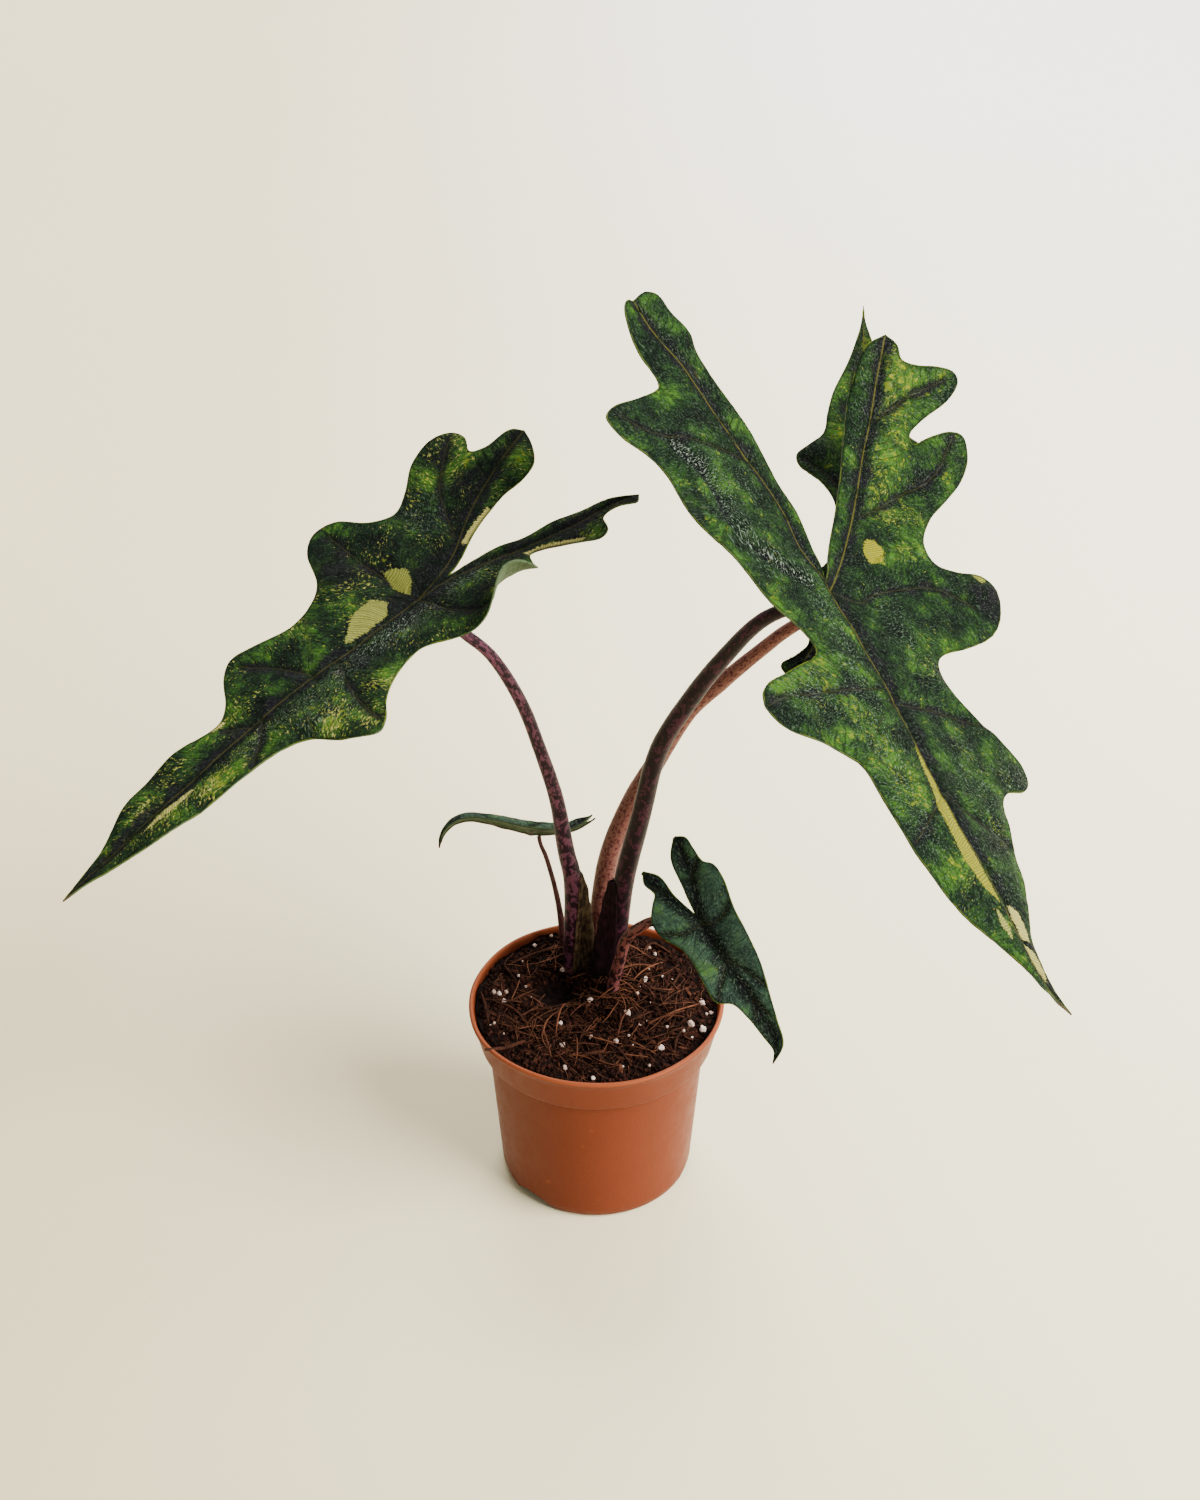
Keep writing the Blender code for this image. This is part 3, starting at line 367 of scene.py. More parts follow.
# %% Front leaf
FRONT = Leaf(
    joint=(95, -30, 339), heading=-68, droop=19, roll=-28,
    arch=0.5, back=-22, fold=(5, 4), open_fold=(-8, -8), back_fold=(2, 6), twist=(-1, -9),
    midrib=[(0, 0), (50, 2), (104, 0), (158, 2), (184, 0), (196, 2), (204, 12)],
    minus_rib=[
        (0, 0), (-20, -5), (-40, -7), (-55, -13), (-69, -22), (-80, -29), (-94, -37),
        (-104, -44), (-113, -54), (-128, -66),
    ],
    plus_rib=[
        (0, 0), (-19, 16), (-43, 31), (-56, 37), (-74, 44), (-90, 50), (-105, 54), (-131, 60),
    ],
    minus_edge=[
        (204, 204, 12), (192, 197, -1), (176, 188, -5), (158, 176, -12), (138, 162, -22),
        (118, 145, -29), (98, 125, -33), (82, 106, -35), (71, 94, -39), (64, 88, -51),
        (58, 82, -67), (53, 75, -74), (47, 68, -75), (41, 61, -69), (34, 53, -54),
        (24, 39, -31), (16, 30, -34), (8, 20, -45), (1, 4, -54), (-6, -12, -63),
        (-15, -28, -71), (-25, -43, -73), (-46, -53, -79), (-54, -60, -90), (-62, -67, -95),
        (-68, -74, -89), (-75, -82, -73), (-80, -90, -60), (-86, -96, -61), (-96, -104, -67),
        (-110, -120, -72), (-120, -127, -70), (-128, -128, -66),
    ],
    plus_edge=[
        (204, 204, 12), (192, 196, 6), (176, 184, 6), (158, 172, 10), (134, 152, 21),
        (108, 126, 33), (88, 104, 41), (78, 97, 48), (71, 95, 59), (65, 88, 67),
        (60, 79, 67), (52, 70, 58), (42, 58, 48), (30, 44, 42), (19, 31, 45),
        (13, 26, 54), (8, 22, 68), (5, 14, 86), (2, 1, 98), (-2, -11, 101),
        (-6, -17, 93), (-10, -18, 80), (-15, -21, 68), (-20, -31, 65), (-26, -42, 71),
        (-32, -52, 82), (-37, -63, 93), (-42, -75, 98), (-47, -84, 96), (-52, -86, 89),
        (-58, -83, 79), (-65, -79, 70), (-71, -84, 69), (-77, -91, 76), (-83, -100, 88),
        (-89, -109, 94), (-97, -115, 92), (-105, -117, 84), (-112, -117, 74),
        (-118, -119, 67), (-125, -126, 65), (-131, -131, 60),
    ],
    minus_sinus=[
        (0, -4, -1), (-12, -17, 1), (-30, -37, 1.5), (-52, -61, -5), (-74, -84, -17),
        (-90, -99, -27), (-103, -112, -35), (-111, -120, -38), (-117, -127, -47),
        (-122, -133, -53), (-126, -133, -60), (-128, -128, -66),
    ],
    plus_sinus=[
        (0, -4, -1), (-20, -28, 13), (-42, -51, 25), (-66, -78, 34), (-88, -101, 41),
        (-114, -124, 50), (-131, -131, 60),
    ],
    columns=(60, 60), row_step=1.0,
    laterals=(
        [(53, -4), (58, -28), (63, -48), (65, -59), (72, -74)],
        [(0, 0), (5, 13), (-1, 25), (-6, 44), (-8, 62), (-5, 73), (-1, 82)],
        [(60, 0), (60, 18), (61, 30), (63, 44), (65, 57), (74, 66)],
        [(-42, 34), (-46, 44), (-54, 59), (-59, 71), (-67, 81), (-75, 86), (-82, 90)],
        [(-89, 52), (-96, 61), (-101, 69), (-107, 80), (-110, 87)],
        [(-64, -21), (-67, -39), (-67, -53), (-65, -68), (-66, -76), (-70, -86)],
        [(104, 0), (116, 16), (124, 30)],
        [(106, 0), (120, -16), (130, -28)],
    ),
    creases=([(1, -13), (-4, -26), (-9, -35), (-16, -41), (-25, -46), (-39, -46), (-51, -51), (-61, -61)],),
    light=(
        (130, -10, 14, 5, 0.8), (150, -4, 16, 4, 0.8), (170, 2, 10, 5, 0.9), (116, 23, 6, 4, 0.8),
        (119, 32, 4, 4, 0.7), (-23, 33, 7, 6, 1.3), (-24, 49, 6, 6, 0.8), (-37, 49, 7, 6, 0.9),
        (-60, 52, 14, 12, 1.0), (-85, 60, 12, 12, 1.1), (-105, 66, 10, 10, 1.1), (-66, 88, 10, 8, 1.1),
        (-110, 86, 8, 8, 1.2), (-86, 84, 8, 8, 0.8), (-42, 60, 14, 10, 0.9), (-120, 66, 10, 10, 1.1),
        (62, -40, 14, 12, 0.7), (60, -66, 10, 8, 0.8), (84, -50, 10, 8, 0.6), (110, -22, 18, 7, 0.7),
        (40, -50, 14, 10, 0.7), (88, -30, 14, 8, 0.6), (-118, 62, 8, 6, 0.9), (30, 34, 12, 9, 0.5),
        (-22, -26, 16, 6, 0.5), (-46, -34, 16, 5, 0.5), (-22, -60, 14, 7, 0.45), (6, -42, 12, 8, 0.5),
        (46, -34, 16, 10, 0.7), (74, -22, 20, 8, 0.7), (100, -14, 20, 8, 0.8), (70, 34, 8, 16, 0.5),
        (88, 26, 12, 8, 0.4), (150, -14, 18, 6, 0.9), (-48, 44, 10, 8, 0.9), (-98, 62, 14, 8, 1.0),
        (82, -36, 5, 5, 0.7),
    ),
    shine=((-40, -44, 26, 8, 1.0), (-10, -34, 12, 10, 1.0), (10, -12, 24, 7, 0.9), (45, -14, 24, 7, 0.8),
           (60, -50, 14, 14, 0.8), (100, -22, 30, 10, 0.8), (90, 56, 10, 10, 0.9), (100, 26, 30, 12, 0.5),
           (-50, -26, 14, 6, 0.6), (20, 30, 20, 10, 0.5), (140, 12, 20, 8, 0.4)),
    dusk=((-2, 98, 12, 13, 1.4), (-46, -86, 12, 14, 0.7), (-24, -70, 10, 9, 0.7), (-22, 26, 10, 5, 0.6),
          (-104, 56, 8, 4, 0.6), (-12, 84, 8, 8, 0.6), (84, 60, 7, 7, 0.5)),
    patches=(
        (0.1, [(82, -0.3), (112, -0.4), (140, -0.8), (157, -1), (150, -6), (138, -8.5), (120, -7.5),
               (104, -5), (92, -3.5)]),
        (0.0, [(-17, 29), (-22, 28), (-29, 31), (-29, 36), (-24, 39), (-18, 36)]),
        (0.8, [(158, 4), (166, 3), (173, 2), (174, 5), (168, 8), (160, 8)]),
        (0.75, [(176, 1), (184, 0), (192, 2), (188, 4), (180, 4)]),
        (0.6, [(160, -5), (168, -7), (174, -5), (168, -3)]),
        (0.4, [(-15, 95), (-13, 91), (-17, 88), (-19, 91)]),
    ),
)
print("front leaf:", len(FRONT.minus_edge) + len(FRONT.plus_edge), "edge points")

# %% [markdown]
# ### The leaf behind and the two young leaves
#
# The leaf behind points away from the viewer, and only one edge of it shows past the front
# leaf. The small front leaf leans over the pot's rim. The smallest one arches over to the
# left and is seen edge on.

# %% Other leaves
BEHIND = Leaf(
    joint=(109, 20, 306), heading=83, droop=-25.5, roll=0,
    arch=2, fold=(6, 6),
    midrib=[(0, 0), (60, -1), (120, 1), (168, 3)],
    minus_rib=[(0, 0), (-22, -11), (-48, -24)],
    plus_rib=[(0, 0), (-20, 11), (-44, 21)],
    minus_edge=[
        (168, 168, 3), (140, 153, 0.6), (114, 132, -6), (94, 112, -12), (80, 98, -16),
        (70, 88, -21), (62, 79, -31), (55, 71, -33), (48, 64, -28), (41, 57, -19),
        (32, 46, -14), (22, 33, -13), (14, 22, -15), (8, 13, -22), (3, 5, -30),
        (-2, -4, -32), (-7, -11, -27), (-13, -18, -22), (-20, -28, -25), (-27, -37, -30),
        (-36, -45, -31), (-48, -49, -24),
    ],
    plus_edge=[
        (168, 168, 3), (140, 152, 4), (114, 132, 8), (94, 112, 14), (80, 98, 16),
        (70, 87, 17), (63, 80, 23), (57, 74, 28), (51, 67, 26), (45, 61, 18),
        (36, 50, 10), (24, 34, 8), (15, 21, 9), (9, 12, 14), (4, 5, 22),
        (-1, -3, 26), (-6, -10, 24), (-11, -17, 18), (-17, -25, 16), (-24, -32, 21),
        (-31, -38, 27), (-44, -45, 22),
    ],
    minus_sinus=[(0, -6, 0), (-12, -18, -5), (-28, -34, -13), (-48, -49, -24)],
    plus_sinus=[(0, -6, 0), (-12, -18, 4), (-28, -34, 11), (-44, -45, 22)],
    columns=(28, 26),
    laterals=(
        [(8, 0), (6, -14), (2, -28)], [(8, 0), (6, 10), (0, 22)], [(46, 0), (58, -16), (68, -30)],
        [(48, 0), (62, 12), (72, 25)], [(-22, -11), (-34, -20), (-41, -28)],
        [(-18, 10), (-30, 17), (-36, 23)], [(86, 0), (104, -10)], [(88, 0), (106, 10)],
    ),
    light=(
        (120, 6, 20, 6, 1.0), (90, 10, 16, 6, 1.0), (62, 22, 12, 8, 0.9), (140, 0, 16, 6, 0.9),
        (70, -22, 12, 8, 0.7), (30, -8, 12, 6, 0.5), (-32, -24, 10, 7, 0.8), (0, 18, 12, 8, 0.6),
    ),
)
SMALL_FRONT = Leaf(
    joint=(45, -20, 163), heading=-54, droop=39, roll=40,
    arch=11, fold=(8, 8),
    midrib=[(0, 0), (22, 2), (45, 5), (64, 5), (74, -1)],
    minus_rib=[(0, 0), (-13, -7), (-29, -13)],
    plus_rib=[(0, 0), (-15, 6), (-36, 9)],
    minus_edge=[
        (74, 74, -1), (63, 69, 2), (52, 60, 1), (42, 50, -1), (35, 42, -4),
        (30, 38, -10), (21, 28, -11), (12, 17, -11), (6, 9, -13), (0, 1, -18),
        (-5, -7, -19), (-10, -14, -15), (-15, -18, -12), (-21, -24, -14), (-29, -30, -12),
    ],
    plus_edge=[
        (74, 74, -1), (63, 68, 8), (52, 57, 11), (40, 44, 14), (28, 30, 17),
        (16, 16, 18), (6, 4, 18), (-3, -8, 20), (-10, -17, 19), (-16, -21, 15),
        (-24, -28, 14), (-30, -34, 13), (-36, -37, 8),
    ],
    minus_sinus=[(0, -2, 0), (-8, -13, -4), (-19, -24, -6), (-29, -30, -12)],
    plus_sinus=[(0, -2, 0), (-10, -14, 1), (-22, -28, 2), (-36, -37, 8)],
    columns=(26, 26), row_step=0.6, wave=0.4,
    laterals=(
        [(4, 0), (4, -9), (0, -16)], [(4, 0), (6, 9), (2, 16)], [(24, 2), (33, -5), (37, -9)],
        [(22, 2), (32, 9), (40, 13)], [(-16, -8), (-22, -12)], [(-16, 6), (-22, 12)],
        [(44, 5), (54, 2)], [(44, 5), (54, 9)],
    ),
    light=((30, -8, 12, 3, 0.9), (60, 2, 10, 3, 0.8), (0, -14, 8, 4, 0.9), (-30, 10, 6, 4, 0.5),
           (-14, -13, 6, 3, 1.2), (48, 0, 8, 3, 0.8)),
    shine=((30, -4, 20, 3, 0.8), (10, -10, 10, 3, 0.8), (30, 7, 14, 3, 0.6), (-10, 8, 10, 4, 0.4)),
    dusk=((20, 3, 30, 4, 1.0), (-6, 0, 10, 5, 0.9), (20, 12, 12, 5, 0.4)),
)
SMALL_BEHIND = Leaf(
    joint=(-27, 50, 158), heading=180, droop=-12, roll=30,
    arch=-18, back=-170, hook=(30, 420), fold=(16, 16),
    midrib=[(0, 0), (25, 0), (46, 0), (56, -2)],
    minus_rib=[(0, 0), (-12, -5), (-28, -9)],
    plus_rib=[(0, 0), (-12, 5), (-28, 9)],
    minus_edge=[
        (56, 56, -2), (42, 47, -4), (30, 35, -8), (20, 24, -11), (10, 13, -13),
        (3, 4, -14), (-3, -6, -14), (-9, -13, -11), (-16, -20, -12), (-28, -29, -8),
    ],
    plus_edge=[
        (56, 56, -2), (42, 47, 3), (30, 35, 7), (20, 24, 10), (10, 13, 12),
        (3, 4, 14), (-3, -6, 14), (-9, -13, 11), (-16, -20, 12), (-28, -29, 8),
    ],
    minus_sinus=[(0, -4, 0), (-8, -12, -2), (-18, -22, -4), (-28, -29, -8)],
    plus_sinus=[(0, -4, 0), (-8, -12, 2), (-18, -22, 4), (-28, -29, 8)],
    columns=(20, 20), row_step=0.6, wave=0.2,
    laterals=(
        [(4, 0), (4, -7), (0, -12)], [(4, 0), (4, 7), (0, 12)], [(18, 0), (26, -7)],
        [(18, 0), (26, 6)],
    ),
    light=((30, 0, 10, 4, 0.3),),
)
print("five leaves drawn")

# %% [markdown]
# ### Bending
#
# The joint with the stalk has a heading, a droop and a roll, as a ship or an aeroplane has.
# From there the spine follows an arc, each half of the blade folds up from its rib, and the
# section twists a little along the way.

# %% Bending
def joint_axes(leaf):
    """Unit vectors at the joint: towards the tip, across the blade and up from it."""
    heading, droop, roll = (math.radians(value) for value in (leaf.heading, leaf.droop, leaf.roll))
    tip = np.array([
        math.cos(droop) * math.cos(heading),
        math.cos(droop) * math.sin(heading),
        -math.sin(droop),
    ])
    level = np.array([-math.sin(heading), math.cos(heading), 0])
    above = np.cross(tip, level)
    across = math.cos(roll) * level + math.sin(roll) * above
    up = math.cos(roll) * above - math.sin(roll) * level
    return tip, across, up


def bend_blade(leaf, flat):
    """Places flat points (along, across) of a blade in space, in millimetres."""
    along, across = flat[:, 0], flat[:, 1]
    tip, side, up = joint_axes(leaf)
    forward = along > 0
    stations = np.arange(-160, 220, 0.5)
    bends = np.where(stations > 0, leaf.arch, leaf.back) * stations / 100
    bends = np.radians(bends + leaf.hook[1] / 100 * np.clip(stations - leaf.hook[0], 0, None))
    runs, drops = (np.concatenate([[0], np.cumsum((wave(bends[1:]) + wave(bends[:-1])) / 4)])
                   for wave in (np.cos, np.sin))
    angle = np.interp(along, stations, bends)
    run = np.interp(along, stations, runs) - np.interp(0, stations, runs)
    drop = np.interp(along, stations, drops) - np.interp(0, stations, drops)
    spine = np.array(leaf.joint) + run[:, None] * tip - drop[:, None] * up
    above = np.sin(angle)[:, None] * tip + np.cos(angle)[:, None] * up
    twist = np.radians(np.where(forward, leaf.twist[0], leaf.twist[1]) * along / 100)
    section_side = np.cos(twist)[:, None] * side + np.sin(twist)[:, None] * above
    section_up = np.cos(twist)[:, None] * above - np.sin(twist)[:, None] * side
    plus = across > 0
    ahead = np.clip(along, 0, None) / 100
    behind = np.clip(-along, 0, None) / 100
    fold = np.where(plus, leaf.fold[1], leaf.fold[0])
    fold = fold + ahead * np.where(plus, leaf.open_fold[1], leaf.open_fold[0])
    fold = fold + behind * np.where(plus, leaf.back_fold[1], leaf.back_fold[0])
    slope = np.radians(fold)
    reach = np.abs(across)
    out = reach * np.cos(slope)
    rise = reach * np.sin(slope)
    for margin, middle, half_length, start, radius in leaf.rolled:
        on_margin = np.where(plus == (margin > 0), 1.0, 0.0)
        curl = np.exp(-(((along - middle) / half_length) ** 2)) / radius * on_margin + 1e-9
        past = np.clip(reach - start, 0, None)
        turned = slope + curl * past
        out += (np.sin(turned) - np.sin(slope)) / curl - past * np.cos(slope)
        rise += (np.cos(slope) - np.cos(turned)) / curl - past * np.sin(slope)
    return spine + (np.sign(across) * out)[:, None] * section_side + rise[:, None] * section_up


# %% [markdown]
# ### Veins, relief and where the light marks lie
#
# The ribs and side veins lie in shallow channels, and the blade swells between them like
# quilting. Each point of the fine mesh keeps a few numbers for the material: how far it is
# from a rib, from a side vein and from the edge, and how light its zone is. That is better
# than painting a picture, because the pattern then follows the leaf at any size.

# %% Distances on the flat drawing
def dense(line, spacing=0.3):
    line = np.array(line, float)
    points = []
    for start, end in zip(line, line[1:]):
        count = max(2, int(np.linalg.norm(end - start) / spacing))
        points.append(start + np.linspace(0, 1, count, endpoint=False)[:, None] * (end - start))
    return np.concatenate(points + [line[-1:]])


def nearest(line, flat):
    """Each flat point's distance from a line, how far along it that is, and on which side."""
    points = dense(line)
    ways = np.gradient(points, axis=0)
    steps = np.linalg.norm(np.diff(points, axis=0), axis=1)
    run = np.concatenate([[0], np.cumsum(steps)])
    tree = kdtree.KDTree(len(points))
    for number, point in enumerate(points):
        tree.insert((point[0], point[1], 0), number)
    tree.balance()
    hits = [tree.find((x, y, 0)) for x, y in flat]
    number = np.array([hit[1] for hit in hits])
    away = flat - points[number]
    way = ways[number]
    side = np.where(way[:, 0] * away[:, 1] - way[:, 1] * away[:, 0] > 0, 1.0, -1.0)
    return np.array([hit[2] for hit in hits]), run[number], side


def spots(marks, flat):
    """Soft spots on the flat drawing, each (along, across, half length, half width, amount)."""
    total = np.zeros(len(flat))
    for along, across, long, wide, amount in marks:
        spot = ((flat[:, 0] - along) / long) ** 2 + ((flat[:, 1] - across) / wide) ** 2
        total += amount * np.exp(-spot)
    return np.clip(total, 0, 1.5)


def inside(polygon, flat):
    """1 for each flat point inside the polygon, and -1 outside it."""
    odd = np.zeros(len(flat), bool)
    x, y = flat[:, 0], flat[:, 1]
    for (x1, y1), (x2, y2) in zip(polygon, polygon[1:] + polygon[:1]):
        if y1 != y2:
            crosses = (y1 > y) != (y2 > y)
            odd ^= crosses & (x < (x2 - x1) * (y - y1) / (y2 - y1) + x1)
    return np.where(odd, 1.0, -1.0)


def soft_noise(flat, scale, seed):
    return np.array([noise.noise((x * scale, y * scale, seed)) for x, y in flat])


# %% Fine blade
VEIN_PERIOD = 4.4
BLADE_WALL = 0.7


def half_grid(leaf, half):
    """The flat points of one half as two grids: rib to margin, and rib to cleft."""
    rib, edge, sinus = (
        (leaf.minus_rib, leaf.minus_edge, leaf.minus_sinus) if half < 0
        else (leaf.plus_rib, leaf.plus_edge, leaf.plus_sinus)
    )
    length, reach = leaf.midrib[-1][0], rib[-1][0]
    front_rows = np.linspace(length, 0, round(length / leaf.row_step) + 1)
    back_rows = np.linspace(0, reach, round(-reach / leaf.row_step) + 1)
    front = on_rib(leaf.midrib[::-1], front_rows)
    back = on_rib(rib, back_rows)
    line = np.concatenate([front, back[1:]])
    margin = at_root(edge, line[:, 0])
    margin[0], margin[-1] = line[0], line[-1]
    cleft = at_root(sinus, back_rows)
    cleft[-1] = line[-1]
    return line, margin, back, cleft


def sectors(leaf, flat):
    """For each flat point: the place on its nearest vein that its fine vein starts from, how
    far away that is and the side of the leaf; its distances from ribs and from side veins;
    and how far it is from where two sectors meet."""
    ribs = [smooth_curve(line) for line in (leaf.midrib, leaf.minus_rib, leaf.plus_rib)]
    laterals = [smooth_curve(line) for line in leaf.laterals]
    longer = [np.concatenate([line, [line[-1] + 14 * (line[-1] - line[-4]) / np.linalg.norm(line[-1] - line[-4])]])
              for line in laterals]
    found = [nearest(line, flat) for line in ribs + longer]
    away, run, side = (np.array([item[number] for item in found]) for number in range(3))
    order = np.argsort(away, axis=0)
    each = np.arange(len(flat))
    first, second = order[0], order[1]
    start = run[first, each] + 31.0 * first + 1.9 * side[first, each]
    start -= 0.55 * away[first, each] * (1 + 0.006 * away[first, each])
    start += 2.6 * soft_noise(flat, 0.06, 4) + 1.2 * soft_noise(flat, 0.17, 8)
    middle = np.interp(flat[:, 0], *smooth_curve(leaf.midrib).T)
    half = np.where(flat[:, 1] > middle, 1.0, -1.0)
    own = [nearest(line, flat) for line in laterals]
    gaps, sides = (np.array([item[number] for item in own]) for number in (0, 2))
    closest = np.argmin(gaps, axis=0)
    lateral = gaps[closest, each] * sides[closest, each]
    near = np.clip(1 - np.abs(lateral) / 8, 0, 1)
    meet = away[second, each] - away[first, each]
    sector = np.column_stack([start, away[first, each], half])
    return sector, (away[:3].min(axis=0), lateral, near), meet


def leaf_mesh(name, leaf, materials):
    """The whole blade as one sheet with relief and the numbers that its material reads."""
    flat, quads, grids = [], [], []
    for half in (-1, 1):
        line, margin, back, cleft = half_grid(leaf, half)
        columns = leaf.columns[0 if half < 0 else 1]
        for starts, ends, count, turned in ((line, margin, columns, half < 0), (back, cleft, 8, half > 0)):
            shares = np.linspace(0, 1, count + 1)[None, :, None]
            grid = starts[:, None, :] + shares * (ends - starts)[:, None, :]
            base = sum(len(part) for part in flat)
            number = base + np.arange(grid.shape[0] * (count + 1)).reshape(grid.shape[0], count + 1)
            corners = (number[:-1, :-1], number[:-1, 1:], number[1:, 1:], number[1:, :-1])
            faces = np.stack([corner.ravel() for corner in corners], 1)
            quads.append(faces[:, ::-1] if turned else faces)
            flat.append(grid.reshape(-1, 2))
        grids += [margin, cleft]
    flat, quads = np.concatenate(flat), np.concatenate(quads)

    sector, off, meet = sectors(leaf, flat)
    rib, lateral, near = off
    edge = np.min([nearest(line, flat)[0] for line in grids], axis=0)
    calm = np.clip(edge / 6, 0, 1) * np.clip(meet / 3, 0, 1)
    pleat = np.abs(np.sin(math.pi * sector[:, 0] / VEIN_PERIOD))
    relief = -0.7 * np.exp(-((rib / 2.2) ** 2)) - 0.5 * np.exp(-((lateral / 1.8) ** 2))
    relief += 0.9 * (1 - np.exp(-((sector[:, 1] / 8) ** 2))) * np.clip(edge / 6, 0, 1)
    relief += leaf.quilt * pleat * np.clip(sector[:, 1] / 5, 0, 1) * calm
    relief += 0.5 * soft_noise(flat, 0.07, 9) + 0.16 * soft_noise(flat, 0.3, 3)
    relief += leaf.wave * 2.2 * soft_noise(flat, 0.045, 20) * np.exp(-edge / 7)
    # shine marks where the painted glints gather; dusk marks the leaf's own near-black spots, and along creases it is
    # painted shade.
    shine, dusk = spots(leaf.shine, flat), spots(leaf.dusk, flat)
    # Along each crease the relief sinks into a valley with a low ridge beside it, and the colour gets painted glints
    # and painted shade along it.
    for crease in leaf.creases:
        fall = nearest(smooth_curve(crease), flat)[0]
        relief += -2.6 * np.exp(-((fall / 3.5) ** 2)) + 0.8 * np.exp(-(((fall - 8) / 4) ** 2))
        shine += 1.3 * np.exp(-((fall / 4.5) ** 2))
        dusk += 0.8 * np.exp(-((fall / 4.0) ** 2))

    outward = np.sign(flat[:, 1] + 1e-9)
    here = bend_blade(leaf, flat)
    ahead = bend_blade(leaf, flat + (0.2, 0))
    aside = bend_blade(leaf, flat + np.stack([0 * edge, 0.2 * outward], 1))
    normal = np.cross(ahead - here, aside - here) * outward[:, None]
    normal /= np.linalg.norm(normal, axis=1)[:, None] + 1e-12
    points = here + relief[:, None] * normal

    patch = np.full(len(flat), -20.0)
    tint = np.zeros(len(flat))
    for shade, polygon in leaf.patches:
        depth = nearest(polygon + polygon[:1], flat)[0] * inside(polygon, flat)
        tint = np.where(depth > patch, shade, tint)
        patch = np.maximum(patch, depth)

    mesh = bpy.data.meshes.new(name)
    mesh.from_pydata((points * MM).tolist(), [], quads.tolist())
    numbers = {
        "rib": rib, "lateral": lateral, "near": near, "edge": edge, "patch": patch, "tint": tint,
        "light": spots(leaf.light, flat), "shine": shine, "dusk": dusk,
    }
    for title, values in numbers.items():
        mesh.attributes.new(title, "FLOAT", "POINT").data.foreach_set("value", values.astype(np.float32))
    for title, values in (("flat", np.column_stack([flat, 0 * rib])), ("sector", sector)):
        vectors = values.astype(np.float32)
        mesh.attributes.new(title, "FLOAT_VECTOR", "POINT").data.foreach_set("vector", vectors.ravel())
    shape = bmesh.new()
    shape.from_mesh(mesh)
    bmesh.ops.remove_doubles(shape, verts=shape.verts, dist=0.05 * MM)
    bmesh.ops.dissolve_degenerate(shape, edges=shape.edges, dist=0.02 * MM)
    shape.to_mesh(mesh)
    shape.free()
    mesh.shade_smooth()
    made = new_object(name, mesh)
    for material in materials:
        mesh.materials.append(material)
    wall = made.modifiers.new("thickness", "SOLIDIFY")
    wall.thickness = BLADE_WALL * MM
    wall.offset = 0
    wall.material_offset = 1
    wall.material_offset_rim = 1
    return made


def plain_mesh(obj):
    """Applies the modifiers, so that the piece is a plain mesh at the origin."""
    graph = bpy.context.evaluated_depsgraph_get()
    mesh = bpy.data.meshes.new_from_object(obj.evaluated_get(graph))
    obj.modifiers.clear()
    obj.data = mesh
    return obj


print("blade maker ready")

# %% [markdown]
# ## Leaf finish
#
# The upper side is dark green, almost black along the veins, brighter towards the edges and
# flecked with yellow where the leaf has no green in it. The flecks are noise that is
# stretched along the side veins, and how many of them show follows the light zones.

# %% Fleck group
def group(name, inputs, outputs):
    """A shader node group with named sockets, and its tree, input node and output node."""
    tree = bpy.data.node_groups.new(name, "ShaderNodeTree")
    for title, kind, value in inputs:
        socket = tree.interface.new_socket(title, in_out="INPUT", socket_type=kind)
        if value is not None:
            socket.default_value = value
    for title, kind in outputs:
        tree.interface.new_socket(title, in_out="OUTPUT", socket_type=kind)
    return tree, tree.nodes.new("NodeGroupInput").outputs, tree.nodes.new("NodeGroupOutput").inputs


fleck_group, given, result = group(
    "leaf_flecks",
    [("Place", "NodeSocketVector", None), ("Zone", "NodeSocketFloat", 0.0),
     ("Grain", "NodeSocketFloat", 0.5), ("Stretch", "NodeSocketFloat", 0.4),
     ("Amount", "NodeSocketFloat", 0.5), ("Softness", "NodeSocketFloat", 0.06)],
    [("Flecks", "NodeSocketFloat")],
)
t = fleck_group
squeeze = add(t, "ShaderNodeCombineXYZ", {0: 1.0, 1: given["Stretch"], 2: 7.0})
stretched = add(t, "ShaderNodeVectorMath", {0: given["Place"], 1: squeeze}, operation="MULTIPLY")
streaks = add(t, "ShaderNodeTexNoise", {"Vector": stretched, "Scale": given["Grain"], "Detail": 4.0,
                                        "Roughness": 0.6, "Distortion": 0.5})
clouds = add(t, "ShaderNodeTexNoise", {"Vector": given["Place"], "Scale": 0.06, "Detail": 2.0})
level = maths(t, "MULTIPLY_ADD", clouds, 0.35, maths(t, "MULTIPLY_ADD", given["Zone"], 0.17, given["Amount"]))
over = maths(t, "SUBTRACT", maths(t, "ADD", streaks, level), 1.0)
t.links.new(ramp(t, over, 0.0, given["Softness"]), result["Flecks"])


def flecks(t, place, zone, grain, stretch, amount, softness=0.06):
    node = t.nodes.new("ShaderNodeGroup")
    node.node_tree = fleck_group
    t.links.new(place, node.inputs["Place"])
    if isinstance(zone, bpy.types.NodeSocket):
        t.links.new(zone, node.inputs["Zone"])
    for title, value in (("Grain", grain), ("Stretch", stretch), ("Amount", amount), ("Softness", softness)):
        node.inputs[title].default_value = value
    return node.outputs[0]


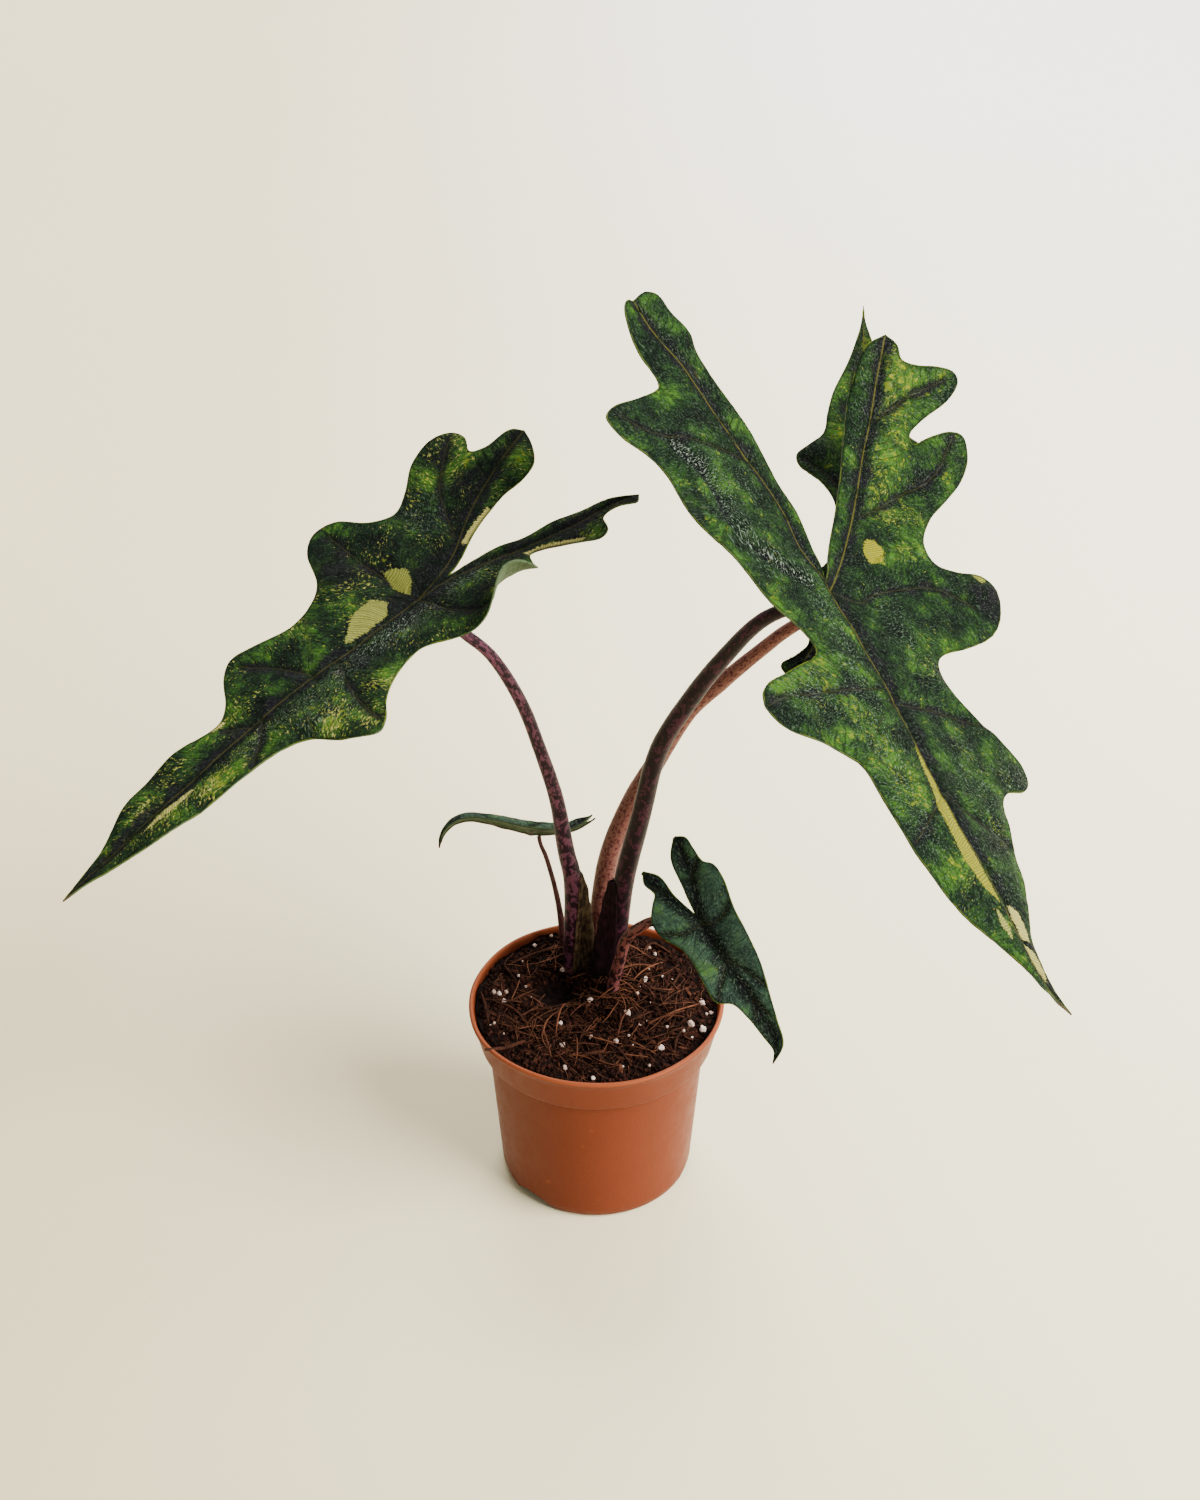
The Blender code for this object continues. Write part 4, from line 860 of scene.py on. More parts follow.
# %% Leaf material
NEAR_BLACK = (0.0012, 0.0024, 0.0018, 1)
PURPLE_BLACK = (0.0042, 0.0034, 0.0058, 1)
DEEP_GREEN = (0.0028, 0.0085, 0.0036, 1)
MID_GREEN = (0.0085, 0.0250, 0.0055, 1)
BRIGHT_GREEN = (0.0300, 0.0820, 0.0080, 1)
YELLOW_GREEN = (0.0850, 0.1150, 0.0070, 1)
YELLOW = (0.1900, 0.1850, 0.0080, 1)
SAGE = (0.1500, 0.1700, 0.0330, 1)
CREAM = (0.4600, 0.4200, 0.1300, 1)
GLINT = (0.0900, 0.1400, 0.0950, 1)
OLIVE = (0.0280, 0.0260, 0.0080, 1)


def colour_steps(t, value, steps):
    """A colour that runs through the steps, each (place, colour), as the value grows."""
    node = t.nodes.new("ShaderNodeValToRGB")
    t.links.new(value, node.inputs[0])
    stops = node.color_ramp.elements
    while len(stops) < len(steps):
        stops.new(0.5)
    for stop, (place, colour) in zip(stops, steps):
        stop.position = place
        stop.color = colour
    return node.outputs[0]


def leaf_finish(name, greens, amount, specks, rib_colour, band=0.0, speck_pale=0.5, glint_share=0.14):
    material, t, shader = new_material(name)
    sector = attribute(t, "sector", "Vector")
    start, away, half = (add(t, "ShaderNodeSeparateXYZ", {0: sector}, out=n) for n in range(3))
    flat = attribute(t, "flat", "Vector")
    along = add(t, "ShaderNodeSeparateXYZ", {0: flat})
    rib, edge, patch = attribute(t, "rib"), attribute(t, "edge"), attribute(t, "patch")
    light, shine, dusk = attribute(t, "light"), attribute(t, "shine"), attribute(t, "dusk")
    lateral = maths(t, "ABSOLUTE", attribute(t, "lateral"))
    near = attribute(t, "near")

    # Greens in clouds, in grains and in faint streaks along the fine veins
    clouds = add(t, "ShaderNodeTexNoise", {"Vector": flat, "Scale": 0.06, "Detail": 6.0, "Roughness": 0.62})
    streak_place = add(t, "ShaderNodeVectorMath", {0: sector, 1: (1.0, 0.35, 1.0)}, operation="MULTIPLY")
    streaks = add(t, "ShaderNodeTexNoise", {"Vector": streak_place, "Scale": 0.7, "Detail": 4.0,
                                            "Roughness": 0.65})
    grains = add(t, "ShaderNodeTexNoise", {"Vector": flat, "Scale": 0.9, "Detail": 4.0, "Roughness": 0.7})
    depth = maths(t, "MULTIPLY_ADD", streaks, 0.45, maths(t, "MULTIPLY_ADD", clouds, 1.5, -0.80))
    depth = maths(t, "MULTIPLY_ADD", grains, 0.65, depth)
    depth = maths(t, "MULTIPLY_ADD", light, 0.12, depth)
    depth = maths(t, "MULTIPLY_ADD", ramp(t, edge, 0.0, 12.0, 1.0, 0.0), 0.07, depth)
    green = colour_steps(t, depth, greens)

    # Yellow blotches, and fine pale specks where the leaf has less green in it
    lean = maths(t, "MULTIPLY", light, 0.45)
    blotches = flecks(t, flat, lean, 0.26, 0.9, amount, 0.045)
    green = mix(t, maths(t, "MULTIPLY", blotches, 0.85), green, YELLOW_GREEN)
    ripe = flecks(t, flat, lean, 0.42, 0.9, amount - 0.05, 0.05)
    green = mix(t, maths(t, "MULTIPLY", ripe, 0.8), green, YELLOW)
    fine = flecks(t, sector, lean, 1.0, 0.7, specks, 0.05)
    pale = add(t, "ShaderNodeTexNoise", {"Vector": flat, "Scale": 0.3, "Detail": 2.0})
    sunlit = mix(t, maths(t, "MULTIPLY", ramp(t, pale, 0.35, 0.65), speck_pale), YELLOW_GREEN, CREAM)
    green = mix(t, maths(t, "MULTIPLY", fine, 0.85), green, sunlit)

    # Dark zones along ribs and side veins and at the dusk spots, which along the creases are painted shade
    wander = add(t, "ShaderNodeTexNoise", {"Vector": flat, "Scale": 0.14, "Detail": 4.0})
    shift = maths(t, "MULTIPLY", half, ramp(t, along, 0.0, 14.0, 0.0, band))
    rib_far = maths(t, "ABSOLUTE", maths(t, "SUBTRACT", rib, shift))
    rib_far = maths(t, "MULTIPLY_ADD", wander, -9.0, maths(t, "ADD", rib_far, 4.5))
    side_far = maths(t, "MULTIPLY_ADD", wander, -7.0, maths(t, "ADD", lateral, 3.5))
    rib_dark = ramp(t, rib_far, 1.8, 5.6, 1.0, 0.0)
    side_dark = maths(t, "MULTIPLY", ramp(t, side_far, 0.6, 4.0, 1.0, 0.0), ramp(t, near, 0.1, 0.5))
    dark = maths(t, "MAXIMUM", maths(t, "MAXIMUM", rib_dark, side_dark), ramp(t, dusk, 0.1, 0.95))
    dark_colour = mix(t, ramp(t, wander, 0.4, 0.62), NEAR_BLACK, PURPLE_BLACK)
    colour = mix(t, maths(t, "MULTIPLY", dark, 0.92), green, dark_colour)

    # Fine veins: dark lines in the blade, and pale ribbing in the colourless patches
    pulse = maths(t, "PINGPONG", start, VEIN_PERIOD / 2)
    line = maths(t, "MULTIPLY", ramp(t, pulse, 0.05, 0.45, 1.0, 0.0), ramp(t, clouds, 0.38, 0.62))
    colour = mix(t, maths(t, "MULTIPLY", line, 0.5), colour, NEAR_BLACK)
    ribbing = ramp(t, maths(t, "PINGPONG", start, 0.6), 0.15, 0.45)
    bare = colour_steps(t, attribute(t, "tint"), ((0.0, YELLOW), (0.5, SAGE), (1.0, CREAM)))
    bare = mix(t, maths(t, "MULTIPLY", ribbing, 0.55), bare, OLIVE)
    ragged = maths(t, "MULTIPLY_ADD", grains, 4.5, maths(t, "SUBTRACT", patch, 2.0))
    in_patch = ramp(t, ragged, -0.25, 0.35)
    colour = mix(t, maths(t, "MULTIPLY", in_patch, 0.95), colour, bare)

    # Painted glints where short hairs catch the light: a net of fine pale strokes and a few bright grains painted into
    # the colour, with a clear coat on them
    net_place = add(t, "ShaderNodeVectorMath", {0: sector, 1: (0.5, 1.15, 1.0)}, operation="MULTIPLY")
    net = add(t, "ShaderNodeTexVoronoi", {"Vector": net_place, "Scale": 1.0, "Randomness": 1.0},
              feature="DISTANCE_TO_EDGE")
    break_up = add(t, "ShaderNodeTexNoise", {"Vector": sector, "Scale": 0.9, "Detail": 3.0})
    stroke = maths(t, "MULTIPLY", ramp(t, net, 0.02, 0.11, 1.0, 0.0), ramp(t, break_up, 0.45, 0.6))
    tiny = add(t, "ShaderNodeTexNoise", {"Vector": flat, "Scale": 2.2, "Detail": 3.0, "Roughness": 0.7})
    dots = ramp(t, tiny, 0.62, 0.70)
    painted_glint = maths(t, "MAXIMUM", stroke, dots)
    painted_glint = maths(t, "MULTIPLY", painted_glint, maths(t, "MULTIPLY_ADD", shine, 0.8, glint_share, clamp=True))
    colour = mix(t, painted_glint, colour, GLINT)

    # The rib's own pale line, and the thin edge
    rib_line = maths(t, "MULTIPLY", ramp(t, rib, 0.2, 0.6, 1.0, 0.0), ramp(t, wander, 0.36, 0.5, 0.25, 0.9))
    colour = mix(t, rib_line, colour, rib_colour)
    side_line = maths(t, "MULTIPLY", ramp(t, lateral, 0.1, 0.4, 0.45, 0.0), ramp(t, near, 0.5, 0.8))
    colour = mix(t, side_line, colour, OLIVE)
    colour = mix(t, ramp(t, edge, 0.2, 1.6, 0.7, 0.0), colour, DEEP_GREEN)
    hem = maths(t, "MULTIPLY", ramp(t, edge, 0.1, 0.55, 0.8, 0.0), ramp(t, wander, 0.42, 0.56))
    colour = mix(t, hem, colour, YELLOW_GREEN)
    t.links.new(colour, shader.inputs["Base Color"])
    shader.inputs["Roughness"].default_value = 0.6
    shader.inputs["Specular IOR Level"].default_value = 0.02
    t.links.new(maths(t, "MULTIPLY", painted_glint, 0.5), shader.inputs["Coat Weight"])
    shader.inputs["Coat Roughness"].default_value = 0.35

    height = maths(t, "MULTIPLY_ADD", line, -0.6, maths(t, "MULTIPLY", grains, 1.2))
    height = maths(t, "ADD", height, maths(t, "MULTIPLY", painted_glint, 0.8))
    bump = add(t, "ShaderNodeBump", {"Height": height, "Distance": 0.0006, "Strength": 0.9})
    t.links.new(bump, shader.inputs["Normal"])
    return material


def underside_finish(name, pale, ribbed):
    material, t, shader = new_material(name)
    rib = attribute(t, "rib")
    lateral = maths(t, "ABSOLUTE", attribute(t, "lateral"))
    sector = attribute(t, "sector", "Vector")
    fine = add(t, "ShaderNodeTexNoise", {"Vector": sector, "Scale": 0.5, "Detail": 4.0})
    vein = maths(t, "MAXIMUM", ramp(t, rib, 0.8, 2.2, 1.0, 0.0), ramp(t, lateral, 0.4, 1.3, 0.8, 0.0))
    colour = mix(t, ramp(t, fine, 0.3, 0.75), pale, tuple(0.6 * value for value in pale[:3]) + (1.0,))
    colour = mix(t, vein, colour, ribbed)
    t.links.new(colour, shader.inputs["Base Color"])
    shader.inputs["Roughness"].default_value = 0.6
    shader.inputs["Specular IOR Level"].default_value = 0.05
    bump = add(t, "ShaderNodeBump", {"Height": maths(t, "ADD", fine, vein), "Distance": 0.0006})
    t.links.new(bump, shader.inputs["Normal"])
    return material


leaf_top = leaf_finish("mottled_leaf", (
    (0.34, NEAR_BLACK), (0.50, DEEP_GREEN), (0.63, MID_GREEN), (0.84, BRIGHT_GREEN)),
    0.14, 0.20, OLIVE, speck_pale=0.5, glint_share=0.10)
front_top = leaf_finish("mottled_front_leaf", (
    (0.32, NEAR_BLACK), (0.48, DEEP_GREEN), (0.62, MID_GREEN), (0.84, BRIGHT_GREEN)),
    0.15, 0.15, (0.055, 0.052, 0.010, 1), band=2.4, speck_pale=0.15, glint_share=0.22)
# The young leaves' greens are greyer and bluer than the others': partly their own colour and partly a painted grey
# sheen. They also get the most painted glints.
young_top = leaf_finish("young_leaf", (
    (0.30, (0.006, 0.013, 0.011, 1)), (0.48, (0.016, 0.034, 0.025, 1)), (0.66, (0.032, 0.068, 0.042, 1)),
    (0.90, (0.050, 0.120, 0.030, 1))), 0.10, 0.13, PURPLE_BLACK, speck_pale=0.6, glint_share=0.4)
leaf_under = underside_finish("leaf_underside", (0.050, 0.078, 0.036, 1), (0.045, 0.028, 0.024, 1))
print("leaf materials ready")

# %% Dress the blades
BLADES = (
    ("leaf_left", LEFT, "blade_left", leaf_top, "leaf"),
    ("leaf_front", FRONT, "blade_front", front_top, "leaf"),
    ("leaf_behind", BEHIND, "blade_back", front_top, "leaf"),
    ("leaf_small_front", SMALL_FRONT, "blade_small_front", young_top, "leaf_small"),
    ("leaf_small_behind", SMALL_BEHIND, "blade_small_back", young_top, "leaf_small"),
)
for name, leaf, node, finish, slot in BLADES:
    piece = plain_mesh(leaf_mesh(name, leaf, (finish, leaf_under)))
    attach(piece, "root")
    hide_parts(node)
    print(name, 2 * len(piece.data.polygons), "triangles")

# %% [markdown]
# ## Leaf stalks
#
# A stalk is a round rod that thins towards the blade and is marked like a snake's skin. Its
# middle line is a short list of points. Geometry Nodes sweep a circle along that line, and
# keep two numbers on the surface, the way round and the length, so that the blotches run
# round the rod without a seam.

# %% Stalk values
STALKS = {
    "left": dict(
        line=[(-11, 30, 84), (-11, 30, 100), (-11, 28, 147), (-14, 26, 166), (-18, 22, 198),
              (-25, 17, 229), (-33, 11, 259), (-45, 4, 287), (-56, -2, 302), (-65, -5, 313)],
        radii=[5.0, 4.9, 4.3, 4.0, 3.4, 3.0, 2.8, 2.5, 2.4, 2.2], neck=2.1, leaf=LEFT,
    ),
    "front": dict(
        line=[(8, 22, 84), (8, 22, 100), (10, 22, 122), (13, 20, 153), (20, 16, 191),
              (28, 10, 234), (41, 3, 265), (55, -6, 293), (68, -15, 315), (78, -21, 325)],
        radii=[5.2, 5.1, 5.0, 4.8, 4.5, 4.2, 4.0, 3.6, 3.2, 2.9], neck=2.5, leaf=FRONT,
    ),
    "back": dict(
        line=[(1, 41, 84), (1, 41, 100), (3, 41, 131), (7, 40, 156), (17, 39, 186),
              (25, 38, 203), (42, 35, 238), (55, 32, 254), (70, 28, 272), (87, 24, 290)],
        radii=[5.0, 5.0, 4.9, 4.8, 4.6, 4.5, 4.0, 3.6, 3.2, 2.8], neck=2.2, leaf=BEHIND,
    ),
    "small_front": dict(
        line=[(8, 10, 84), (8, 10, 98), (11, 8, 115), (14, 4, 131), (20, -1, 142),
              (27, -6, 150), (37, -14, 157)],
        radii=[3.0, 3.0, 2.9, 2.7, 2.5, 2.2, 1.9], neck=1.4, leaf=SMALL_FRONT,
    ),
    "small_back": dict(
        line=[(-16, 44, 84), (-16, 44, 98), (-19, 45, 125), (-24, 48, 146)],
        radii=[1.9, 1.9, 1.3, 1.1], neck=1.0, leaf=SMALL_BEHIND, bow=0.15,
    ),
}


def stalk_path(values):
    """The stalk's line, with a neck that leans halfway from it to the blade's normal."""
    joint, up = np.array(values["leaf"].joint), joint_axes(values["leaf"])[2]
    own = joint - np.array(values["line"][-1])
    lean = own / np.linalg.norm(own) + values.get("bow", 1.0) * up
    lean /= np.linalg.norm(lean)
    end = joint - 1.3 * up
    line = values["line"] + [tuple(end - 4.0 * lean), tuple(end)]
    radii = values["radii"] + [values["neck"]] * 2
    return smooth_curve([(*point, radius) for point, radius in zip(line, radii)], 6)


# %% Stalk sweep
def new_geometry_tree(name, inputs):
    tree = bpy.data.node_groups.new(name, "GeometryNodeTree")
    tree.interface.new_socket("Geometry", in_out="INPUT", socket_type="NodeSocketGeometry")
    for title, kind, value in inputs:
        socket = tree.interface.new_socket(title, in_out="INPUT", socket_type=kind)
        if value is not None:
            socket.default_value = value
    tree.interface.new_socket("Geometry", in_out="OUTPUT", socket_type="NodeSocketGeometry")
    return tree, tree.nodes.new("NodeGroupInput").outputs, tree.nodes.new("NodeGroupOutput").inputs


def run_tree(obj, tree, values):
    """Sets a tree's named inputs on the object, and turns the result into a plain mesh."""
    modifier = obj.modifiers.new(tree.name, "NODES")
    modifier.node_group = tree
    for socket in tree.interface.items_tree:
        if socket.item_type == "SOCKET" and socket.in_out == "INPUT" and socket.name in values:
            modifier[socket.identifier] = values[socket.name]
    return plain_mesh(obj)


stalk_tree, given, result = new_geometry_tree("stalk_sweep", [
    ("Sides", "NodeSocketInt", 24),
    ("Knobs", "NodeSocketFloat", 0.0002),
    ("Skin", "NodeSocketMaterial", None),
])
t = stalk_tree
curve = add(t, "GeometryNodeMeshToCurve", {"Mesh": given["Geometry"]})
girth = add(t, "GeometryNodeInputNamedAttribute", {"Name": "girth"}, data_type="FLOAT")
length = add(t, "GeometryNodeSplineParameter", out="Length")
curve = add(t, "GeometryNodeStoreNamedAttribute", {"Geometry": curve, "Name": "length", "Value": length})
circle = add(t, "GeometryNodeCurvePrimitiveCircle", {"Resolution": given["Sides"], "Radius": 1.0})
way = add(t, "GeometryNodeInputPosition")
circle = add(t, "GeometryNodeStoreNamedAttribute", {"Geometry": circle, "Name": "around", "Value": way},
             data_type="FLOAT_VECTOR")
swept = add(t, "GeometryNodeCurveToMesh",
            {"Curve": curve, "Profile Curve": circle, "Scale": girth, "Fill Caps": True})
bumps = add(t, "ShaderNodeTexNoise", {"Vector": add(t, "GeometryNodeInputPosition"), "Scale": 260.0}, out=0)
centred = maths(t, "SUBTRACT", bumps, 0.5)
push = add(t, "ShaderNodeVectorMath", {0: add(t, "GeometryNodeInputNormal"),
                                       3: maths(t, "MULTIPLY", centred, given["Knobs"])}, operation="SCALE")
swept = add(t, "GeometryNodeSetPosition", {"Geometry": swept, "Offset": push})
swept = add(t, "GeometryNodeSetShadeSmooth", {"Geometry": swept})
swept = add(t, "GeometryNodeRealizeInstances", {"Geometry": swept})
swept = add(t, "GeometryNodeSetMaterial", {"Geometry": swept, "Material": given["Skin"]})
t.links.new(swept, result["Geometry"])

# %% Stalk material
def stalk_finish(name, ground, blotch, size, cover):
    material, t, shader = new_material(name)
    around = attribute(t, "around", "Vector")
    length = attribute(t, "length")
    x, y, _ = (add(t, "ShaderNodeSeparateXYZ", {0: around}, out=number) for number in range(3))
    where = add(t, "ShaderNodeCombineXYZ", {0: maths(t, "MULTIPLY", x, 4.0), 1: maths(t, "MULTIPLY", y, 4.0),
                                            2: maths(t, "MULTIPLY", length, 1000 * 0.6)})
    blotches = add(t, "ShaderNodeTexNoise", {"Vector": where, "Scale": size, "Detail": 2.5, "Roughness": 0.55,
                                             "Distortion": 0.6})
    specks = add(t, "ShaderNodeTexNoise", {"Vector": where, "Scale": size * 4, "Detail": 2.0})
    tone = add(t, "ShaderNodeTexNoise", {"Vector": where, "Scale": 0.06, "Detail": 1.0})
    base = mix(t, tone, ground, tuple(0.72 * value for value in ground[:3]) + (1.0,))
    mask = ramp(t, maths(t, "MULTIPLY_ADD", specks, 0.25, blotches), cover, cover + 0.09)
    colour = mix(t, mask, base, blotch)
    t.links.new(colour, shader.inputs["Base Color"])
    shader.inputs["Roughness"].default_value = 0.5
    shader.inputs["Specular IOR Level"].default_value = 0.12
    bump = add(t, "ShaderNodeBump", {"Height": specks, "Distance": 0.0003, "Strength": 0.5})
    t.links.new(bump, shader.inputs["Normal"])
    return material


STALK_SKINS = {
    "left": stalk_finish("mauve_stalk", (0.105, 0.032, 0.060, 1), (0.011, 0.0024, 0.0080, 1), 0.42, 0.56),
    "front": stalk_finish("dark_purple_stalk", (0.045, 0.0095, 0.023, 1), (0.006, 0.0014, 0.0038, 1), 0.4, 0.53),
    "back": stalk_finish("rose_stalk", (0.20, 0.078, 0.062, 1), (0.070, 0.018, 0.020, 1), 0.9, 0.62),
    "small_front": stalk_finish("banded_stalk", (0.17, 0.055, 0.052, 1), (0.012, 0.0045, 0.006, 1), 0.45, 0.6),
    "small_back": stalk_finish("thin_stalk", (0.09, 0.032, 0.030, 1), (0.020, 0.007, 0.009, 1), 0.8, 0.62),
}

# %% Sweep the stalks
for name, values in STALKS.items():
    path = stalk_path(values)
    mesh = bpy.data.meshes.new("petiole_" + name)
    mesh.from_pydata((path[:, :3] * MM).tolist(), [(n, n + 1) for n in range(len(path) - 1)], [])
    mesh.attributes.new("girth", "FLOAT", "POINT").data.foreach_set(
        "value", (path[:, 3] * MM).astype(np.float32))
    piece = new_object("petiole_" + name, mesh)
    run_tree(piece, stalk_tree, {"Sides": 28, "Knobs": 0.0003, "Skin": STALK_SKINS[name]})
    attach(piece, "root")
    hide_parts("stalk_" + name)
    print("stalk", name, len(piece.data.polygons), "faces")

# %% [markdown]
# ## Sheaths
#
# At the foot of the two largest stalks the old leaf base stands off as a papery wing, the
# place where the next leaf once came out. It is a thin sheet that hugs the stalk and bulges
# to one side, less and less towards its top.

# %% Sheaths
def papery(name, dark, light):
    """A dull skin with streaks that run up the sheath."""
    material, t, shader = new_material(name)
    place = add(t, "ShaderNodeTexCoord", out="Object")
    drawn = add(t, "ShaderNodeVectorMath", {0: place, 1: (1.0, 1.0, 0.16)}, operation="MULTIPLY")
    streaks = add(t, "ShaderNodeTexNoise", {"Vector": drawn, "Scale": 900.0, "Detail": 4.0, "Roughness": 0.7})
    stains = add(t, "ShaderNodeTexNoise", {"Vector": place, "Scale": 260.0, "Detail": 4.0, "Roughness": 0.6})
    share = maths(t, "ADD", maths(t, "MULTIPLY", streaks, 0.6), maths(t, "MULTIPLY", stains, 0.5))
    colour = mix(t, ramp(t, share, 0.42, 0.68), dark, light)
    t.links.new(colour, shader.inputs["Base Color"])
    shader.inputs["Roughness"].default_value = 0.75
    shader.inputs["Specular IOR Level"].default_value = 0.08
    bump = add(t, "ShaderNodeBump", {"Height": streaks, "Distance": 0.0003, "Strength": 0.7})
    t.links.new(bump, shader.inputs["Normal"])
    return material


SHEATHS = (
    ("sheath_left", "left", 4, 151, 0.3, 6.2,
     papery("olive_sheath", (0.010, 0.0042, 0.0040, 1), (0.095, 0.062, 0.032, 1))),
    ("sheath_front", "front", 184, 153, 1.8, 4.6,
     papery("dark_sheath", (0.0024, 0.0009, 0.0014, 1), (0.018, 0.0052, 0.0090, 1))),
)
for name, stalk, facing, top, least, wing, skin in SHEATHS:
    path = stalk_path(STALKS[stalk])
    mesh = bpy.data.meshes.new(name)
    turns = np.linspace(-1, 1, 25)
    heights = np.linspace(86, top, 40)
    points = []
    for height in heights:
        x, y, radius = (np.interp(height, path[:, 2], path[:, column]) for column in (0, 1, 3))
        share = (top - height) / (top - 86)
        for turn in turns:
            angle = math.radians(facing + 105 * turn * (0.3 + 0.7 * share**0.5))
            ripple = 0.25 * math.sin(height * 0.5 + 3 * turn)
            out = radius + 0.3 + (least + wing * share**0.7 + ripple) * math.exp(-((turn / 0.26) ** 2))
            points.append(((x + out * math.cos(angle)) * MM, (y + out * math.sin(angle)) * MM, height * MM))
    wide = len(turns)
    faces = [(r * wide + c, r * wide + c + 1, (r + 1) * wide + c + 1, (r + 1) * wide + c)
             for r in range(len(heights) - 1) for c in range(wide - 1)]
    mesh.from_pydata(points, [], faces)
    mesh.shade_smooth()
    mesh.materials.append(skin)
    piece = new_object(name, mesh)
    wall = piece.modifiers.new("thickness", "SOLIDIFY")
    wall.thickness = 0.5 * MM
    wall.offset = 0
    plain_mesh(piece)
    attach(piece, "root")
    print(name, len(piece.data.polygons), "faces")

# %% [markdown]
# ## Pot
#
# The pot is blown from thin plastic: a tapered body, a wider band below the rim and a soft
# lip. It is turned from one section, like clay on a wheel, and then the drain slots are cut
# through its lower edge. A real rim is never quite round, so it is bent a little.

# %% Pot values
POT_HEIGHT = 98.0
RIM_RADIUS = 60.0
BAND_FOOT_RADIUS = 55.4
BAND_FOOT_Z = 78.6
BODY_TOP_RADIUS = 51.4
FOOT_RADIUS = 45.8
POT_WALL = 1.4
LIP = 1.2
POT_SIDES = 176
DRAIN_ANGLES = (-132, -12, 108)
DRAIN_WIDTH = 22.0
DRAIN_HEIGHT = 6.0
NICK_ANGLE = -75
NICK_WIDTH = 4.0
NICK_HEIGHT = 1.6


def pot_profile():
    """The pot's section from its floor up the inside, over the lip and down the outside."""
    taper = (BODY_TOP_RADIUS - FOOT_RADIUS) / BAND_FOOT_Z
    body_top = BAND_FOOT_Z - 1.2
    inner_foot = FOOT_RADIUS - POT_WALL
    inner_rim = RIM_RADIUS - LIP - POT_WALL
    up = [
        (0, POT_WALL), (inner_foot - 1.5, POT_WALL), (inner_foot + 0.2, POT_WALL + 1.5),
        (BODY_TOP_RADIUS - POT_WALL, body_top + 0.6), (BODY_TOP_RADIUS - POT_WALL + 0.6, body_top + 1.5),
        (BAND_FOOT_RADIUS - POT_WALL, BAND_FOOT_Z + 1.2), (inner_rim, POT_HEIGHT - 3),
        (inner_rim + 0.5, POT_HEIGHT - 0.6),
    ]
    lip = [
        (inner_rim + 0.9, POT_HEIGHT - 0.15), (RIM_RADIUS - LIP, POT_HEIGHT),
        (RIM_RADIUS - 0.4, POT_HEIGHT - 0.2), (RIM_RADIUS, POT_HEIGHT - 0.9),
        (RIM_RADIUS - 0.1, POT_HEIGHT - 1.8), (RIM_RADIUS - LIP + 0.3, POT_HEIGHT - 2.6),
    ]
    down = [
        (RIM_RADIUS - LIP - 0.3, POT_HEIGHT - 5), (BAND_FOOT_RADIUS + 0.4, BAND_FOOT_Z + 1.8),
        (BAND_FOOT_RADIUS + 0.2, BAND_FOOT_Z + 0.8), (BAND_FOOT_RADIUS - 0.4, BAND_FOOT_Z),
        (BODY_TOP_RADIUS + 0.9, body_top + 0.3), (BODY_TOP_RADIUS + 0.3, body_top - 0.2),
        (BODY_TOP_RADIUS, body_top - 1.2), (FOOT_RADIUS + 5 * taper, 5), (FOOT_RADIUS - 0.4, 2),
        (FOOT_RADIUS - 1.6, 0.5), (FOOT_RADIUS - 3.2, 0), (0, 0),
    ]
    return up + lip + down


def half_round_cutter(angle, width, height):
    """A cutter for a drain slot, as wide and as high as stated."""
    shape = bmesh.new()
    bmesh.ops.create_cone(shape, cap_ends=True, segments=36, radius1=1, radius2=1, depth=1)
    spin = Matrix.Rotation(math.radians(angle), 4, "Z")
    size = Matrix.Diagonal((height * MM, width / 2 * MM, 14 * MM, 1))
    place = Matrix.Translation(spin @ Vector((FOOT_RADIUS * MM, 0, 0)))
    turn = spin @ Matrix.Rotation(math.radians(90), 4, "Y")
    bmesh.ops.transform(shape, verts=shape.verts, matrix=place @ turn @ size)
    mesh = bpy.data.meshes.new("cutter")
    shape.to_mesh(mesh)
    shape.free()
    return new_object("cutter", mesh)


# %% Turn the pot
def lathe(name, profile, sides, spacing=None):
    """Turns a section into a closed shell, with extra rings where its steps are long."""
    if spacing:
        rings = [profile[0]]
        for (r1, z1), (r2, z2) in zip(profile, profile[1:]):
            count = max(1, round(math.hypot(r2 - r1, z2 - z1) / spacing))
            rings += [(r1 + (r2 - r1) * n / count, z1 + (z2 - z1) * n / count) for n in range(1, count + 1)]
        profile = rings
    shape = bmesh.new()
    rows = []
    for radius, z in profile:
        if radius == 0:
            rows.append([shape.verts.new((0, 0, z * MM))])
        else:
            turns = (2 * math.pi * n / sides for n in range(sides))
            rows.append([shape.verts.new((radius * math.cos(a) * MM, radius * math.sin(a) * MM, z * MM))
                         for a in turns])
    for low, high in zip(rows, rows[1:]):
        for n in range(sides):
            m = (n + 1) % sides
            if len(low) == 1:
                shape.faces.new((low[0], high[m], high[n]))
            elif len(high) == 1:
                shape.faces.new((low[n], low[m], high[0]))
            else:
                shape.faces.new((low[n], low[m], high[m], high[n]))
    bmesh.ops.recalc_face_normals(shape, faces=shape.faces)
    mesh = bpy.data.meshes.new(name)
    shape.to_mesh(mesh)
    shape.free()
    return new_object(name, mesh)


